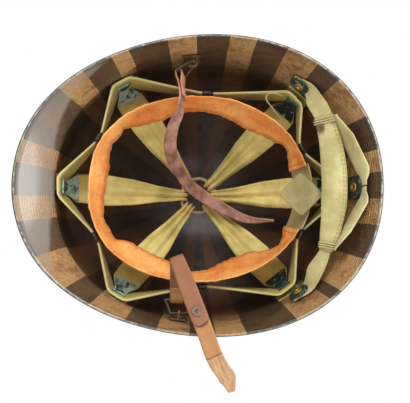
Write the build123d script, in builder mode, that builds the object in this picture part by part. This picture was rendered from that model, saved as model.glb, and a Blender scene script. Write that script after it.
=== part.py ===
from build123d import *
from math import atan2, copysign, cos, degrees, radians, sin, sqrt, tan
import os

os.makedirs("parts", exist_ok=True)

# A helmet liner of resin-bonded canvas, lying on its crown with the open side up.
# X runs from the peak (-X) to the nape (+X), +Y is the wearer's left and Z is up.
# The origin is in the middle of a small flat on the crown. Lengths are millimetres.

# Driving sizes of the shell
shell_height = 165.0
shell_wall = 2.6
crown_flat = 0.5
flare_depth = 50.0
dome_height = shell_height - flare_depth
side_radius = 103.5
front_radius = 113.5
rear_radius = 115.0
side_flare = 11.0
front_flare = 52.0
rear_flare = 32.0
side_flare_depth = 65.0
front_flare_depth = 47.0
rear_flare_depth = 60.0
side_flare_start = shell_height - side_flare_depth
front_flare_start = shell_height - front_flare_depth
rear_flare_start = shell_height - rear_flare_depth
peak_drop = 17.0
nape_drop = 6.0
peak_end = 140.0
nape_end = 140.0
cut_overrun = 8.0
rim_overrun = 40.0
rivet_reach = 10.0
wall_probe = 1.0

# Plain numbers of the egg outline: where it is widest, how full it is, how it flares
widest_share = 0.106
dome_front_fullness = 2.3
rim_front_fullness = 1.84
dome_rear_fullness = 1.95
rim_rear_fullness = 2.15
front_flare_power = 1.25
rear_flare_power = 1.66
side_flare_power = 1.3
outline_count = 24
outline_turns = [360 * i / outline_count for i in range(outline_count)]
rim_step_count = 8
search_count = 40
height_shares = [0, 0.012, 0.04, 0.09, 0.16, 0.25, 0.35, 0.45, 0.54, 0.61, 0.66, 0.7, 0.74, 0.785, 0.835,
                 0.885, 0.94, 1]

# Driving sizes of the webbing, the leather and the sheet metal
webbing_thick = 1.8
band_thick = 2.4
band_height = 26.0
band_depth = 60.0
band_mid = shell_height - band_depth
strap_width = 25.0
leather_thick = 1.8
washer_thick = 1.2
rivet_shank_radius = 1.6
rivet_head_radius = 4.0
rivet_head_thick = 1.2
wire_radius = 0.9
clearance = 0.3
rivet_clearance = 0.1
pad_gap = 0.9

# Where the six washers of the head band and the three of the nape strap are, in
# degrees round from the nape towards the wearer's left
band_turns = {"rear": 0, "left_rear": 43, "left_front": 125, "front": 178.5, "right_front": -127,
              "right_rear": -48}
nape_turns = {"left": 45, "right": -46, "rear": 0}
nape_depths = {"left": 33.0, "right": 33.0, "rear": 27.0}
nape_heights = {name: shell_height - depth for name, depth in nape_depths.items()}


def reach(radius, flare, start, power, height, inset):
    """Distance of the wall from the axis: a quarter ellipse, then a flare towards the rim."""
    sink = max(0.0, dome_height - height) / (dome_height - inset)
    rise = max(0.0, height - start) / (shell_height - start)
    lean = flare * power * rise ** (power - 1) / (shell_height - start)
    dome = (radius - inset) * sqrt(max(0.0, 1 - sink**2))
    return dome + flare * rise**power - inset * (sqrt(1 + lean**2) - 1)


def wall_outline(height, inset):
    """Sizes of the egg outline of the wall at a height above the unworn crown."""
    front = reach(front_radius, front_flare, front_flare_start, front_flare_power, height, inset)
    rear = reach(rear_radius, rear_flare, rear_flare_start, rear_flare_power, height, inset)
    side = reach(side_radius, side_flare, side_flare_start, side_flare_power, height, inset)
    rise = min(1.0, max(0.0, height - side_flare_start) / (shell_height - side_flare_start))
    front_fullness = dome_front_fullness + (rim_front_fullness - dome_front_fullness) * rise
    rear_fullness = dome_rear_fullness + (rim_rear_fullness - dome_rear_fullness) * rise
    return front, rear, side, widest_share * side, front_fullness, rear_fullness


def egg_point(outline, turn):
    """Point of an egg outline: two half superellipses that meet at the widest place."""
    front, rear, side, widest, front_fullness, rear_fullness = outline
    along, across = cos(radians(turn)), sin(radians(turn))
    fullness = rear_fullness if along >= 0 else front_fullness
    length = rear - widest if along >= 0 else front + widest
    x = widest + copysign(length * abs(along) ** (2 / fullness), along)
    return x, copysign(side * abs(across) ** (2 / fullness), across)


def egg_at(outline, bearing):
    """Point of an egg outline on a given bearing from the axis, found by halving."""
    bearing = (bearing + 180) % 360 - 180
    low, high = 0.0, 180.0
    for _ in range(search_count):
        turn = (low + high) / 2
        x, y = egg_point(outline, turn)
        if degrees(atan2(y, x)) < abs(bearing):
            low = turn
        else:
            high = turn
    return Vector(x, copysign(y, bearing) if y else 0, 0)


def wall_plane(bearing, height, upright=False, foot=None, inset=shell_wall):
    """Plane on a face of the wall, facing inward, with its x level and its y up.

    An upright plane stands on the wall where the wall is at the height called foot.
    """
    level = height if foot is None else foot
    place = egg_at(wall_outline(level + crown_flat, inset), bearing)
    ahead = egg_at(wall_outline(level + crown_flat, inset), bearing + 1)
    behind = egg_at(wall_outline(level + crown_flat, inset), bearing - 1)
    above = egg_at(wall_outline(level + wall_probe + crown_flat, inset), bearing)
    below = egg_at(wall_outline(level - wall_probe + crown_flat, inset), bearing)
    tangent = (ahead - behind).normalized()
    slope = Vector(above.X - below.X, above.Y - below.Y, 2 * wall_probe)
    rise = Vector(0, 0, 1) if upright else slope.normalized()
    return Plane(origin=(place.X, place.Y, height), x_dir=tangent * -1, z_dir=rise.cross(tangent))


def ribbon(points, thickness):
    """Closed outline of a strip of even thickness along a run of straight pieces."""
    steps = [(Vector(*b) - Vector(*a)).normalized() for a, b in zip(points, points[1:])]
    normals = [Vector(-step.Y, step.X) for step in steps]
    left, right = [], []
    for index, point in enumerate(points):
        before = normals[max(index - 1, 0)]
        after = normals[min(index, len(normals) - 1)]
        mitre = (before + after) / (1 + before.dot(after)) * (thickness / 2)
        left.append(Vector(*point) + mitre)
        right.append(Vector(*point) - mitre)
    return left + right[::-1]


def strap_planes(points, across):
    """Planes square to a strap's run at each of its points, with x across the strap."""
    planes = []
    for index, point in enumerate(points):
        run = points[min(index + 1, len(points) - 1)] - points[max(index - 1, 0)]
        planes.append(Plane(origin=point, x_dir=across[index], z_dir=run))
    return planes


def rim_height(x):
    """Height of the rim, which dips towards the peak and a little towards the nape."""
    if x < 0:
        return shell_height - peak_drop * (abs(x) / peak_end) ** 2
    return shell_height - nape_drop * (x / nape_end) ** 2


# The rivets' places: a plane on the inside of the wall for each
band_low = band_mid - band_height / 2
band_frames = {name: wall_plane(turn, band_mid, True, band_low) for name, turn in band_turns.items()}
nape_frames = {name: wall_plane(turn, nape_heights[name]) for name, turn in nape_turns.items()}
left_clip_x = -4.0
right_clip_x = -15.0
chin_depth = 48.0
chin_clip_height = shell_height - chin_depth
chin_turns = {"left": degrees(atan2(side_radius, left_clip_x)),
              "right": degrees(atan2(-side_radius, right_clip_x))}
chin_frames = {name: wall_plane(turn, chin_clip_height) for name, turn in chin_turns.items()}

# Shell: a moulded dome with a flared rim, bored for its rivets
with BuildPart() as shell:
    loft_top = shell_height + cut_overrun
    for share in height_shares:
        level = crown_flat + (loft_top - crown_flat) * share
        with BuildSketch(Plane.XY.offset(level - crown_flat)):
            with BuildLine():
                Spline(*[egg_point(wall_outline(level, 0), turn) for turn in outline_turns], periodic=True)
            make_face()
    loft()
    bowl_low = crown_flat + shell_wall
    for share in height_shares:
        level = bowl_low + (loft_top - bowl_low) * share
        with BuildSketch(Plane.XY.offset(level - crown_flat)):
            with BuildLine():
                outline = [egg_point(wall_outline(level, shell_wall), turn) for turn in outline_turns]
                Spline(*outline, periodic=True)
            make_face()
    loft(mode=Mode.SUBTRACT)
    with BuildSketch(Plane.XZ):
        with BuildLine():
            first, last = -peak_end - rim_overrun, nape_end + rim_overrun
            stations = [first + (last - first) * i / rim_step_count for i in range(rim_step_count + 1)]
            rim_line = Spline(*[(x, rim_height(x)) for x in stations])
            top = loft_top + cut_overrun
            Polyline(rim_line @ 1, (last, top), (first, top), rim_line @ 0)
        make_face()
    extrude(amount=2 * side_radius, both=True, mode=Mode.SUBTRACT)
    for frame in [*band_frames.values(), *nape_frames.values(), *chin_frames.values()]:
        with BuildSketch(frame):
            Circle(rivet_shank_radius + rivet_clearance)
        extrude(amount=rivet_reach, both=True, mode=Mode.SUBTRACT)
shell.part.label = "shell"
export_step(shell.part, "parts/shell.step")

# Head band rivets: each has a head outside the shell, a shank and a set head inside
band_seat = pad_gap + band_thick
rivet_inner = band_seat + washer_thick
with BuildPart() as suspension_rivets:
    for frame in band_frames.values():
        with BuildSketch(frame.offset(rivet_inner)):
            Circle(rivet_head_radius)
    extrude(amount=rivet_head_thick)
    for name, turn in band_turns.items():
        frame, outside = band_frames[name], wall_plane(turn, band_mid, inset=0)
        depth = (frame.origin - outside.origin).dot(frame.z_dir) + clearance + rivet_head_thick / 2
        with BuildSketch(frame.offset(-depth)):
            Circle(rivet_shank_radius)
        extrude(amount=depth + rivet_inner)
        with BuildSketch(outside.offset(-clearance)):
            Circle(rivet_head_radius)
        extrude(amount=-rivet_head_thick)
suspension_rivets.part.label = "suspension_rivets"
export_step(suspension_rivets.part, "parts/suspension_rivets.step")

# Head band washers: a riveted tab bent inward into a plate that lies along its crown strap
tab_half = 5.5
tab_up = 6.0
tab_down = 5.0
plate_run = 13.0
plate_half = 9.5
plate_dip = 35.0
for name, frame in band_frames.items():
    section = Plane(origin=frame.origin, x_dir=frame.z_dir, z_dir=frame.x_dir * -1)
    mid = band_seat + washer_thick / 2
    bend = (mid, -tab_down)
    tip = (mid + plate_run * cos(radians(plate_dip)), -tab_down - plate_run * sin(radians(plate_dip)))
    with BuildPart() as washer:
        with BuildSketch(section):
            with BuildLine():
                Polyline(*ribbon([(mid, tab_up), bend, tip], washer_thick), close=True)
            make_face()
        extrude(amount=plate_half, both=True)
        with BuildSketch(Plane(origin=frame.origin, x_dir=frame.x_dir, z_dir=(0, 0, 1))):
            with BuildLine():
                Polyline((-tab_half, 0), (tab_half, 0), (tab_half, -band_seat - 2 * washer_thick),
                         (plate_half, -tip[0] + washer_thick), (plate_half, -tip[0] - 2 * washer_thick),
                         (-plate_half, -tip[0] - 2 * washer_thick), (-plate_half, -tip[0] + washer_thick),
                         (-tab_half, -band_seat - 2 * washer_thick), close=True)
            make_face()
        extrude(amount=band_height, both=True, mode=Mode.INTERSECT)
        with BuildSketch(frame):
            Circle(rivet_shank_radius + rivet_clearance)
        extrude(amount=rivet_inner + washer_thick, mode=Mode.SUBTRACT)
    label = f"{name}_washer"
    washer.part.label = label
    export_step(washer.part, f"parts/{label}.step")

# The crown lace, a closed loop of cord that draws the six crown straps together
lace_ring_radius = 14.0
lace_radius = 1.5
lace_drop = 60.0
lace_height = band_mid - lace_drop
lace_offset = 1.0
lace_centre = Vector(lace_offset, 0, lace_height)
with BuildPart() as crown_lace:
    with Locations(lace_centre):
        Torus(lace_ring_radius, lace_radius)
crown_lace.part.label = "crown_lace"
export_step(crown_lace.part, "parts/crown_lace.step")

# Crown straps: each hangs under its washer's plate and gathers into a hem on the lace
hem_run = 3.0
hem_thick = 4.4
hem_width = 7.0
strap_sag = 2.0
gather_shares = [1, 0.7, 0.45, 0.2]
gather_width_shares = [1, 0.96, 0.78, 0.5]
plate_under = washer_thick / 2 + clearance + webbing_thick / 2
for name, frame in band_frames.items():
    inward, level = frame.z_dir, frame.x_dir
    bend = frame.origin + inward * (band_seat + washer_thick / 2) - Vector(0, 0, tab_down)
    dip = inward * cos(radians(plate_dip)) - Vector(0, 0, sin(radians(plate_dip)))
    under = inward * -sin(radians(plate_dip)) - Vector(0, 0, cos(radians(plate_dip)))
    top = bend + dip * (plate_run / 2) + under * plate_under
    edge = bend + dip * plate_run + under * plate_under
    towards = Vector(edge.X - lace_centre.X, edge.Y - lace_centre.Y, 0).normalized()
    end = lace_centre + towards * (lace_ring_radius - hem_run)
    points, widths, thicks = [top], [2 * tab_half + hem_run], [webbing_thick]
    for share, width_share in zip(gather_shares, gather_width_shares):
        sag = Vector(0, 0, strap_sag * (1 - (2 * share - 1) ** 2))
        points.append(end + (edge - end) * share - sag)
        widths.append(strap_width * width_share)
        thicks.append(webbing_thick + (hem_thick - webbing_thick) * (1 - share) / 2)
    points += [end + towards * 2 * hem_run, end]
    widths += [hem_width + hem_run / 2, hem_width]
    thicks += [hem_thick, hem_thick]
    with BuildPart() as crown_strap:
        for plane, width, thick in zip(strap_planes(points, [level] * len(points)), widths, thicks):
            with BuildSketch(plane):
                Rectangle(width, thick)
        loft(ruled=True)
        with Locations(lace_centre):
            Torus(lace_ring_radius, lace_radius + rivet_clearance, mode=Mode.SUBTRACT)
    label = f"{name}_crown_strap"
    crown_strap.part.label = label
    export_step(crown_strap.part, f"parts/{label}.step")

# Sweatband: a leaning ring of leather, open at the nape, where a webbing strip joins it
sweat_over_band = 21.0
sweat_top = band_mid + sweat_over_band
sweat_height = 36.0
sweat_lean = 13.0
sweat_front_room = 28.5
sweat_rear_room = 27.0
sweat_side_room = 30.5
sweat_front = front_radius - sweat_front_room
sweat_rear = rear_radius - sweat_rear_room
sweat_side = side_radius - sweat_side_room
sweat_shift = 4.0
sweat_front_fullness = 2.3
sweat_rear_fullness = 2.0
window_left = 22.0
window_right = -30.0
window_height = 80.0


def sweat_outline(height, inset):
    """Sizes of the sweatband's egg outline at a height, drawn in towards its foot."""
    drawn = sweat_lean * (sweat_top - height) / sweat_height + inset
    reaches = [size - drawn for size in (sweat_front, sweat_rear, sweat_side)]
    return *reaches, sweat_shift, sweat_front_fullness, sweat_rear_fullness


window_size = (sweat_rear, window_left - window_right, window_height)
window_centre = (sweat_rear, (window_left + window_right) / 2, sweat_top - sweat_height / 2)
ring_levels = [sweat_top - sweat_height, sweat_top]
with BuildPart() as sweatband:
    for inset, mode in ((0, Mode.ADD), (leather_thick, Mode.SUBTRACT)):
        for height in ring_levels:
            with BuildSketch(Plane.XY.offset(height)):
                with BuildLine():
                    outline = [egg_point(sweat_outline(height, inset), turn) for turn in outline_turns]
                    Spline(*outline, periodic=True)
                make_face()
        loft(mode=mode)
    with Locations(window_centre):
        Box(*window_size, mode=Mode.SUBTRACT)
sweatband.part.label = "sweatband"
export_step(sweatband.part, "parts/sweatband.step")

rear_web_inset = 0.2
with BuildPart() as rear_web:
    for inset, mode in ((rear_web_inset, Mode.ADD), (leather_thick - rear_web_inset, Mode.SUBTRACT)):
        for height in ring_levels:
            with BuildSketch(Plane.XY.offset(height)):
                with BuildLine():
                    outline = [egg_point(sweat_outline(height, inset), turn) for turn in outline_turns]
                    Spline(*outline, periodic=True)
                make_face()
        loft(mode=mode)
    with Locations(window_centre):
        Box(window_size[0], window_size[1] - 2 * clearance, window_size[2], mode=Mode.INTERSECT)
rear_web.part.label = "sweatband_rear_web"
export_step(rear_web.part, "parts/sweatband_rear_web.step")

# Square end of the adjusting web, lying across the top edge of the rear web
tab_side = 24.0
tab_set_in = 8.0
tab_centre = (sweat_rear - tab_set_in, (window_left + window_right) / 2, sweat_top + clearance)
with BuildPart() as rear_tab:
    with BuildSketch(Plane(origin=tab_centre, x_dir=(1, 1, 0), z_dir=(0, 0, 1))):
        RectangleRounded(tab_side, tab_side, webbing_thick)
    extrude(amount=webbing_thick)
rear_tab.part.label = "sweatband_rear_tab"
export_step(rear_tab.part, "parts/sweatband_rear_tab.step")

# Head band: six spans of webbing on edge, drawn in to a clip on the sweatband half way
clip_thick = 0.8
clip_half = 4.0
clip_drop = 8.0
clip_flat = 5.2
band_slack = 1.4
pin_clear = 2.4
pad_run = 7.0
names = list(band_frames)
span_labels = ["left_rear_band", "left_side_band", "left_front_band", "right_front_band", "right_side_band",
               "right_rear_band"]


def pad_point(frame, along):
    """Point on the middle of the webbing that lies on the wall beside a rivet."""
    return frame.origin - frame.x_dir * along + frame.z_dir * (pad_gap + band_thick / 2)


clip_planes = []
for label, first, second in zip(span_labels, names, names[1:] + names[:1]):
    a, b = band_frames[first], band_frames[second]
    middle = (pad_point(a, pad_run) + pad_point(b, -pad_run)) / 2
    bearing = degrees(atan2(middle.Y, middle.X))
    outline = sweat_outline(sweat_top, 0)
    seat = egg_at(outline, bearing)
    tangent = (egg_at(outline, bearing + 1) - egg_at(outline, bearing - 1)).normalized()
    outward = tangent.cross(Vector(0, 0, 1))
    held = seat + outward * (band_thick / 2 + band_slack)
    clip_planes.append(Plane(origin=(held.X, held.Y, 0), x_dir=outward * -1, z_dir=tangent))
    run = [pad_point(a, pin_clear), pad_point(a, pad_run), held - tangent * clip_flat,
           held + tangent * clip_flat, pad_point(b, -pad_run), pad_point(b, -pin_clear)]
    with BuildPart() as span:
        with BuildSketch(Plane.XY.offset(band_low)):
            with BuildLine():
                Polyline(*ribbon([(p.X, p.Y) for p in run], band_thick), close=True)
            make_face()
        extrude(amount=band_height)
    span.part.label = label
    export_step(span.part, f"parts/{label}.step")

# Spring clips on the back of the sweatband, bent over the top edge of the head band
with BuildPart() as sweatband_clips:
    leg = (band_thick + clip_thick) / 2 + clearance
    crest = band_low + band_height + clearance + clip_thick / 2
    foot = crest - clip_drop
    bent = [(-leg, foot), (-leg, crest), (leg, crest), (leg, foot)]
    for plane in clip_planes:
        with BuildSketch(plane):
            with BuildLine():
                Polyline(*ribbon(bent, clip_thick), close=True)
            make_face()
    extrude(amount=clip_half, both=True)
sweatband_clips.part.label = "sweatband_clips"
export_step(sweatband_clips.part, "parts/sweatband_clips.step")

# Nape strap washers and rivets, flat on the sloping wall with the webbing under them
nape_washer_radius = 9.5
nape_corner = 3.5
nape_gap = 1.5
nape_seat = nape_gap + webbing_thick + rivet_clearance
nape_head_radius = 3.2
with BuildPart() as nape_rivets:
    for frame in nape_frames.values():
        with BuildSketch(frame.offset(nape_seat + washer_thick)):
            Circle(nape_head_radius)
    extrude(amount=rivet_head_thick)
    for name, turn in nape_turns.items():
        frame, outside = nape_frames[name], wall_plane(turn, nape_heights[name], inset=0)
        depth = (frame.origin - outside.origin).dot(frame.z_dir) + clearance + rivet_head_thick / 2
        with BuildSketch(frame.offset(-depth)):
            Circle(rivet_shank_radius)
        extrude(amount=depth + nape_seat + washer_thick)
        with BuildSketch(outside.offset(-clearance)):
            Circle(rivet_head_radius)
        extrude(amount=-rivet_head_thick)
nape_rivets.part.label = "nape_rivets"
export_step(nape_rivets.part, "parts/nape_rivets.step")

for name, frame in nape_frames.items():
    with BuildPart() as washer:
        with BuildSketch(frame.offset(nape_seat)):
            RegularPolygon(nape_washer_radius + nape_corner / 2, 3)
            fillet(vertices(), nape_corner)
            Circle(rivet_shank_radius + rivet_clearance, mode=Mode.SUBTRACT)
        extrude(amount=washer_thick)
    label = f"nape_{name}_washer"
    washer.part.label = label
    export_step(washer.part, f"parts/{label}.step")

# Nape strap: a band across the nape, hung from two side straps and a V of webbing
nape_depth = 18.0
nape_height = shell_height - nape_depth
nape_room = 10.0
nape_length_x = rear_radius - nape_room
nape_curve = 7.0
nape_half = 50.0
nape_mid_width = 20.0
nape_left_width = 15.0
nape_right_width = 9.0
nape_tilt = 15.0
side_strap_width = 16.0
nape_steps = [1.07, 0.7, 0.25, -0.25, -0.75, -1]
nape_width_shares = [0.75, 0.85, 1, 1, 0.75, 0.5]
nape_middle = Vector(nape_length_x, 1.0, nape_height)
nape_points = [nape_middle + Vector(-nape_curve * share**2, nape_half * share, 0) for share in nape_steps]
with BuildPart() as nape_band:
    tilted = []
    for index, point in enumerate(nape_points):
        run = nape_points[min(index + 1, len(nape_points) - 1)] - nape_points[max(index - 1, 0)]
        level = run.cross(Vector(0, 0, 1)).normalized()
        tilted.append(level * cos(radians(nape_tilt)) - Vector(0, 0, sin(radians(nape_tilt))))
    for plane, share in zip(strap_planes(nape_points, tilted), nape_width_shares):
        with BuildSketch(plane):
            Rectangle(nape_mid_width * share, webbing_thick)
    loft(ruled=True)
nape_band.part.label = "nape_band"
export_step(nape_band.part, "parts/nape_band.step")

# Side straps, each from under its washer to the end of the nape band
strap_gap = 2.5
for name, end, across in (("left", nape_points[0], tilted[0]), ("right", nape_points[-1], tilted[-1])):
    frame = nape_frames[name]
    start = frame.origin + frame.z_dir * (nape_gap + webbing_thick / 2)
    meet = end + (start - end).normalized() * strap_gap
    flat = ((meet - start) - frame.z_dir * (meet - start).dot(frame.z_dir)).normalized()
    leave = start + flat * (nape_washer_radius + nape_corner)
    heel = start - flat * rivet_head_radius
    lay = frame.z_dir.cross(flat)
    turn_in = leave + (meet - leave) / 2 + frame.z_dir * webbing_thick
    if across.dot(lay) < 0:
        across = across * -1
    with BuildPart() as side_strap:
        stations = zip(strap_planes([heel, leave, turn_in, meet], [lay, lay, lay + across, across]),
                       [side_strap_width, side_strap_width, side_strap_width, nape_mid_width / 2])
        for plane, width in stations:
            with BuildSketch(plane):
                Rectangle(width, webbing_thick)
        loft(ruled=True)
        with BuildSketch(frame):
            Circle(rivet_shank_radius + rivet_clearance)
        extrude(amount=nape_seat, mode=Mode.SUBTRACT)
    label = f"nape_{name}_strap"
    side_strap.part.label = label
    export_step(side_strap.part, f"parts/{label}.step")

# V of webbing on edge, from each end of the nape band back to the rear washer
vee_height = 18.0
vee_hang = 7.0
vee_low = nape_height - vee_hang
vee_setback = 4.0
vee_back = nape_length_x + nape_curve + nape_mid_width / 2
for name, tie, share, side in (("left", nape_points[0], nape_width_shares[0], 1),
                               ("right", nape_points[-1], nape_width_shares[-1], -1)):
    near = (tie.X + nape_mid_width * share / 2 + vee_setback, tie.Y)
    corner = (vee_back, side * (nape_washer_radius + nape_corner))
    pad = (vee_back, side * nape_washer_radius)
    with BuildPart() as vee:
        with BuildSketch(Plane.XY.offset(vee_low)):
            with BuildLine():
                Polyline(*ribbon([near, corner, pad], webbing_thick), close=True)
            make_face()
        extrude(amount=vee_height)
    label = f"nape_rear_{name}_strap"
    vee.part.label = label
    export_step(vee.part, f"parts/{label}.step")

# Cord ties that bind the ends of the nape band: two oval turns each, wound by a loop
tie_radius = 0.7
tie_pitch = 2.2
tie_turns = 2
tie_slack = 1.0
tie_corner_share = 0.9
ties = (("left", nape_points[0], nape_points[1], nape_mid_width * nape_width_shares[0], tilted[0]),
        ("right", nape_points[-1], nape_points[-2], nape_mid_width * nape_width_shares[-1], tilted[-1]))
for name, start, onward, width, across in ties:
    run = (onward - start).normalized()
    level = (across - run * across.dot(run)).normalized()
    up = run.cross(level)
    half = width / 2 + clearance + tie_radius + tie_slack
    deep = webbing_thick / 2 + clearance + tie_radius + tie_slack / 2
    corners = [(half, -deep), (half, deep), (-half, deep), (-half, -deep)]
    route = []
    for index in range(4 * tie_turns + 1):
        u, v = corners[index % 4]
        step = tie_slack + tie_radius + tie_pitch * index / 4
        route.append(start + run * step + level * u + up * v)
    with BuildPart() as tie:
        with BuildLine() as path:
            FilletPolyline(*route, radius=tie_corner_share * deep)
        with BuildSketch(Plane(origin=path.line @ 0, z_dir=path.line % 0)):
            Circle(tie_radius)
        sweep()
    print(name, "tie: gap between its turns", round(tie_pitch - 2 * tie_radius, 2), "mm")
    label = f"nape_{name}_tie"
    tie.part.label = label
    export_step(tie.part, f"parts/{label}.step")

# Rusty stud pressed into the nape band below the left tie
stud_radius = 3.0
stud_height = 1.6
stud_chamfer = 0.5
stud_share = 0.72
stud_place = nape_points[0] + (nape_points[1] - nape_points[0]) * stud_share
stud_up = tilted[0].cross(nape_points[1] - nape_points[0])
stud_plane = Plane(origin=stud_place, x_dir=tilted[0], z_dir=stud_up * copysign(1, stud_up.Z))
with BuildPart() as nape_stud:
    with BuildSketch(stud_plane.offset(webbing_thick / 2 + clearance)):
        Circle(stud_radius)
    extrude(amount=stud_height)
    chamfer(nape_stud.faces().sort_by(Axis(stud_plane.origin, stud_plane.z_dir))[-1].edges(), stud_chamfer)
nape_stud.part.label = "nape_stud"
export_step(nape_stud.part, "parts/nape_stud.step")

# Chin strap clips: a plate on the wall with a wire staple, level on the left and
# turned upright on the right, held by one rivet each
clip_plate_width = 13.0
clip_plate_length = 18.5
staple_rise = 7.9
staple_half = 3.5
staple_reach = 8.0
chin_seat = pad_gap
staple_corner = 2.0
for name, frame in chin_frames.items():
    with BuildPart() as clip:
        with BuildSketch(frame.offset(chin_seat)):
            with Locations((0, staple_rise / 2)):
                RectangleRounded(clip_plate_width, clip_plate_length, staple_corner)
            Circle(rivet_shank_radius + rivet_clearance, mode=Mode.SUBTRACT)
        extrude(amount=washer_thick)
        centre = frame.origin + frame.y_dir * staple_rise
        spread = frame.x_dir if name == "left" else frame.y_dir
        base = frame.z_dir * (chin_seat + washer_thick / 2)
        tip = frame.z_dir * staple_reach
        legs = [centre - spread * staple_half + base, centre - spread * staple_half + tip,
                centre + spread * staple_half + tip, centre + spread * staple_half + base]
        with BuildLine() as path:
            FilletPolyline(*legs, radius=staple_corner)
        with BuildSketch(Plane(origin=path.line @ 0, z_dir=path.line % 0)):
            Circle(wire_radius)
        sweep()
    label = f"{name}_chin_clip"
    clip.part.label = label
    export_step(clip.part, f"parts/{label}.step")

with BuildPart() as chin_rivets:
    for frame in chin_frames.values():
        with BuildSketch(frame.offset(chin_seat + washer_thick)):
            Circle(nape_head_radius)
    extrude(amount=rivet_head_thick)
    for name, turn in chin_turns.items():
        frame, outside = chin_frames[name], wall_plane(turn, chin_clip_height, inset=0)
        depth = (frame.origin - outside.origin).dot(frame.z_dir) + clearance + rivet_head_thick / 2
        with BuildSketch(frame.offset(-depth)):
            Circle(rivet_shank_radius)
        extrude(amount=depth + chin_seat + washer_thick)
        with BuildSketch(outside.offset(-clearance)):
            Circle(rivet_head_radius)
        extrude(amount=-rivet_head_thick)
chin_rivets.part.label = "chin_rivets"
export_step(chin_rivets.part, "parts/chin_rivets.step")

# Bails: a closed loop of wire, narrow in the staple and wide where the leather goes round
bail_gap = 0.3
left_bail_run = 13.5
left_bail_short = 4.2
right_bail_short = 6.5
bail_half = 9.0
left_frame, right_frame = chin_frames["left"], chin_frames["right"]
left_pin = left_frame.origin + left_frame.y_dir * staple_rise + left_frame.z_dir * staple_reach
right_pin = right_frame.origin + right_frame.y_dir * staple_rise + right_frame.z_dir * staple_reach
left_bar = Vector(-0.22, 0.39, 0.894).normalized()
left_reach = Vector(-0.715, -0.685, 0.122)
left_reach = (left_reach - left_bar * left_reach.dot(left_bar)).normalized()
right_bar = Vector(1, 0, 0)
right_reach = Vector(0, 0.995, -0.09).normalized()
right_skew = 1.5
right_bail_run = 10.5
left_heel = left_pin - left_frame.z_dir * 2 * (wire_radius + bail_gap)
right_heel = right_pin - right_frame.z_dir * (2 * wire_radius + bail_gap)
left_hold = left_heel + left_reach * left_bail_run
right_hold = right_heel + right_reach * right_bail_run - Vector(right_skew, 0, 0)
bails = (("left", left_heel, left_hold, left_bar, left_bail_short),
         ("right", right_heel, right_hold, right_bar, right_bail_short))
for name, heel, hold, bar, short in bails:
    corners = [heel - bar * short, heel + bar * short, hold + bar * bail_half, hold - bar * bail_half]
    with BuildPart() as bail:
        for a, b in zip(corners, corners[1:] + corners[:1]):
            with BuildSketch(Plane(origin=a, z_dir=b - a)):
                Circle(wire_radius)
            extrude(amount=(b - a).length)
        with Locations(*corners):
            Sphere(wire_radius)
    label = f"{name}_bail"
    bail.part.label = label
    export_step(bail.part, f"parts/{label}.step")

# Leather that goes round a bail: the middle line of the strip, seen along the bail's bar
loop_out = wire_radius + clearance + leather_thick / 2
nip = leather_thick / 2 + clearance / 2
loop_neck = 9.0


def loop_line(tail, onward):
    """Middle line of a strip folded round a wire: a tail, a bend in short flats, a strip."""
    bend = [(loop_out * cos(radians(turn)), loop_out * sin(radians(turn))) for turn in range(90, 271, 30)]
    return [(tail, nip), (loop_neck, nip), *bend, (loop_neck, -nip), (onward, -nip)]


# Left chin strap: on edge from its bail over the sweatband, then turning face up and
# falling across the head space to a pointed tip
chin_width = 13.0
left_tail = 21.0
right_tuck = 10.5
left_onward = 20.0
left_run = Vector(0.115, -0.899, 0.418)
left_run = (left_run - left_bar * left_run.dot(left_bar)).normalized()
left_plane = Plane(origin=left_hold, x_dir=left_run, z_dir=left_bar)
left_route_shares = [(-0.159, 0.819, 1.056), (-0.219, 0.663, 0.984), (-0.248, 0.501, 0.881),
                     (-0.224, 0.348, 0.762), (-0.164, 0.233, 0.651), (-0.038, 0.06, 0.54),
                     (0.086, -0.042, 0.5), (0.258, -0.162, 0.487), (0.466, -0.275, 0.511),
                     (0.729, -0.301, 0.563)]
left_turn_shares = [0, 0.1, 0.45, 0.8, 0.95, 1, 1, 1, 1, 1, 1]
left_width_shares = [1, 1, 1, 1, 1, 0.95, 0.85, 0.8, 0.7, 0.5, 0.12]
with BuildPart() as left_chinstrap:
    with BuildSketch(left_plane):
        with BuildLine():
            Polyline(*ribbon(loop_line(left_tail, left_onward), leather_thick), close=True)
        make_face()
    extrude(amount=chin_width / 2, both=True)
    points = [left_plane.from_local_coords(Vector(left_onward, -nip, 0))]
    points += [Vector(x * sweat_front, y * sweat_side, z * sweat_top) for x, y, z in left_route_shares]
    across = []
    for index, turn_share in enumerate(left_turn_shares):
        run = points[min(index + 1, len(points) - 1)] - points[max(index - 1, 0)]
        level = run.cross(Vector(0, 0, 1)).normalized()
        across.append(left_bar * (1 - turn_share) + level * turn_share)
    planes = [Plane(origin=points[0], x_dir=left_bar, z_dir=left_run)] + strap_planes(points, across)[1:]
    for plane, share in zip(planes, left_width_shares):
        with BuildSketch(plane):
            Rectangle(chin_width * share, leather_thick)
    loft(ruled=True)
left_chinstrap.part.label = "left_chinstrap"
export_step(left_chinstrap.part, "parts/left_chinstrap.step")

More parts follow.
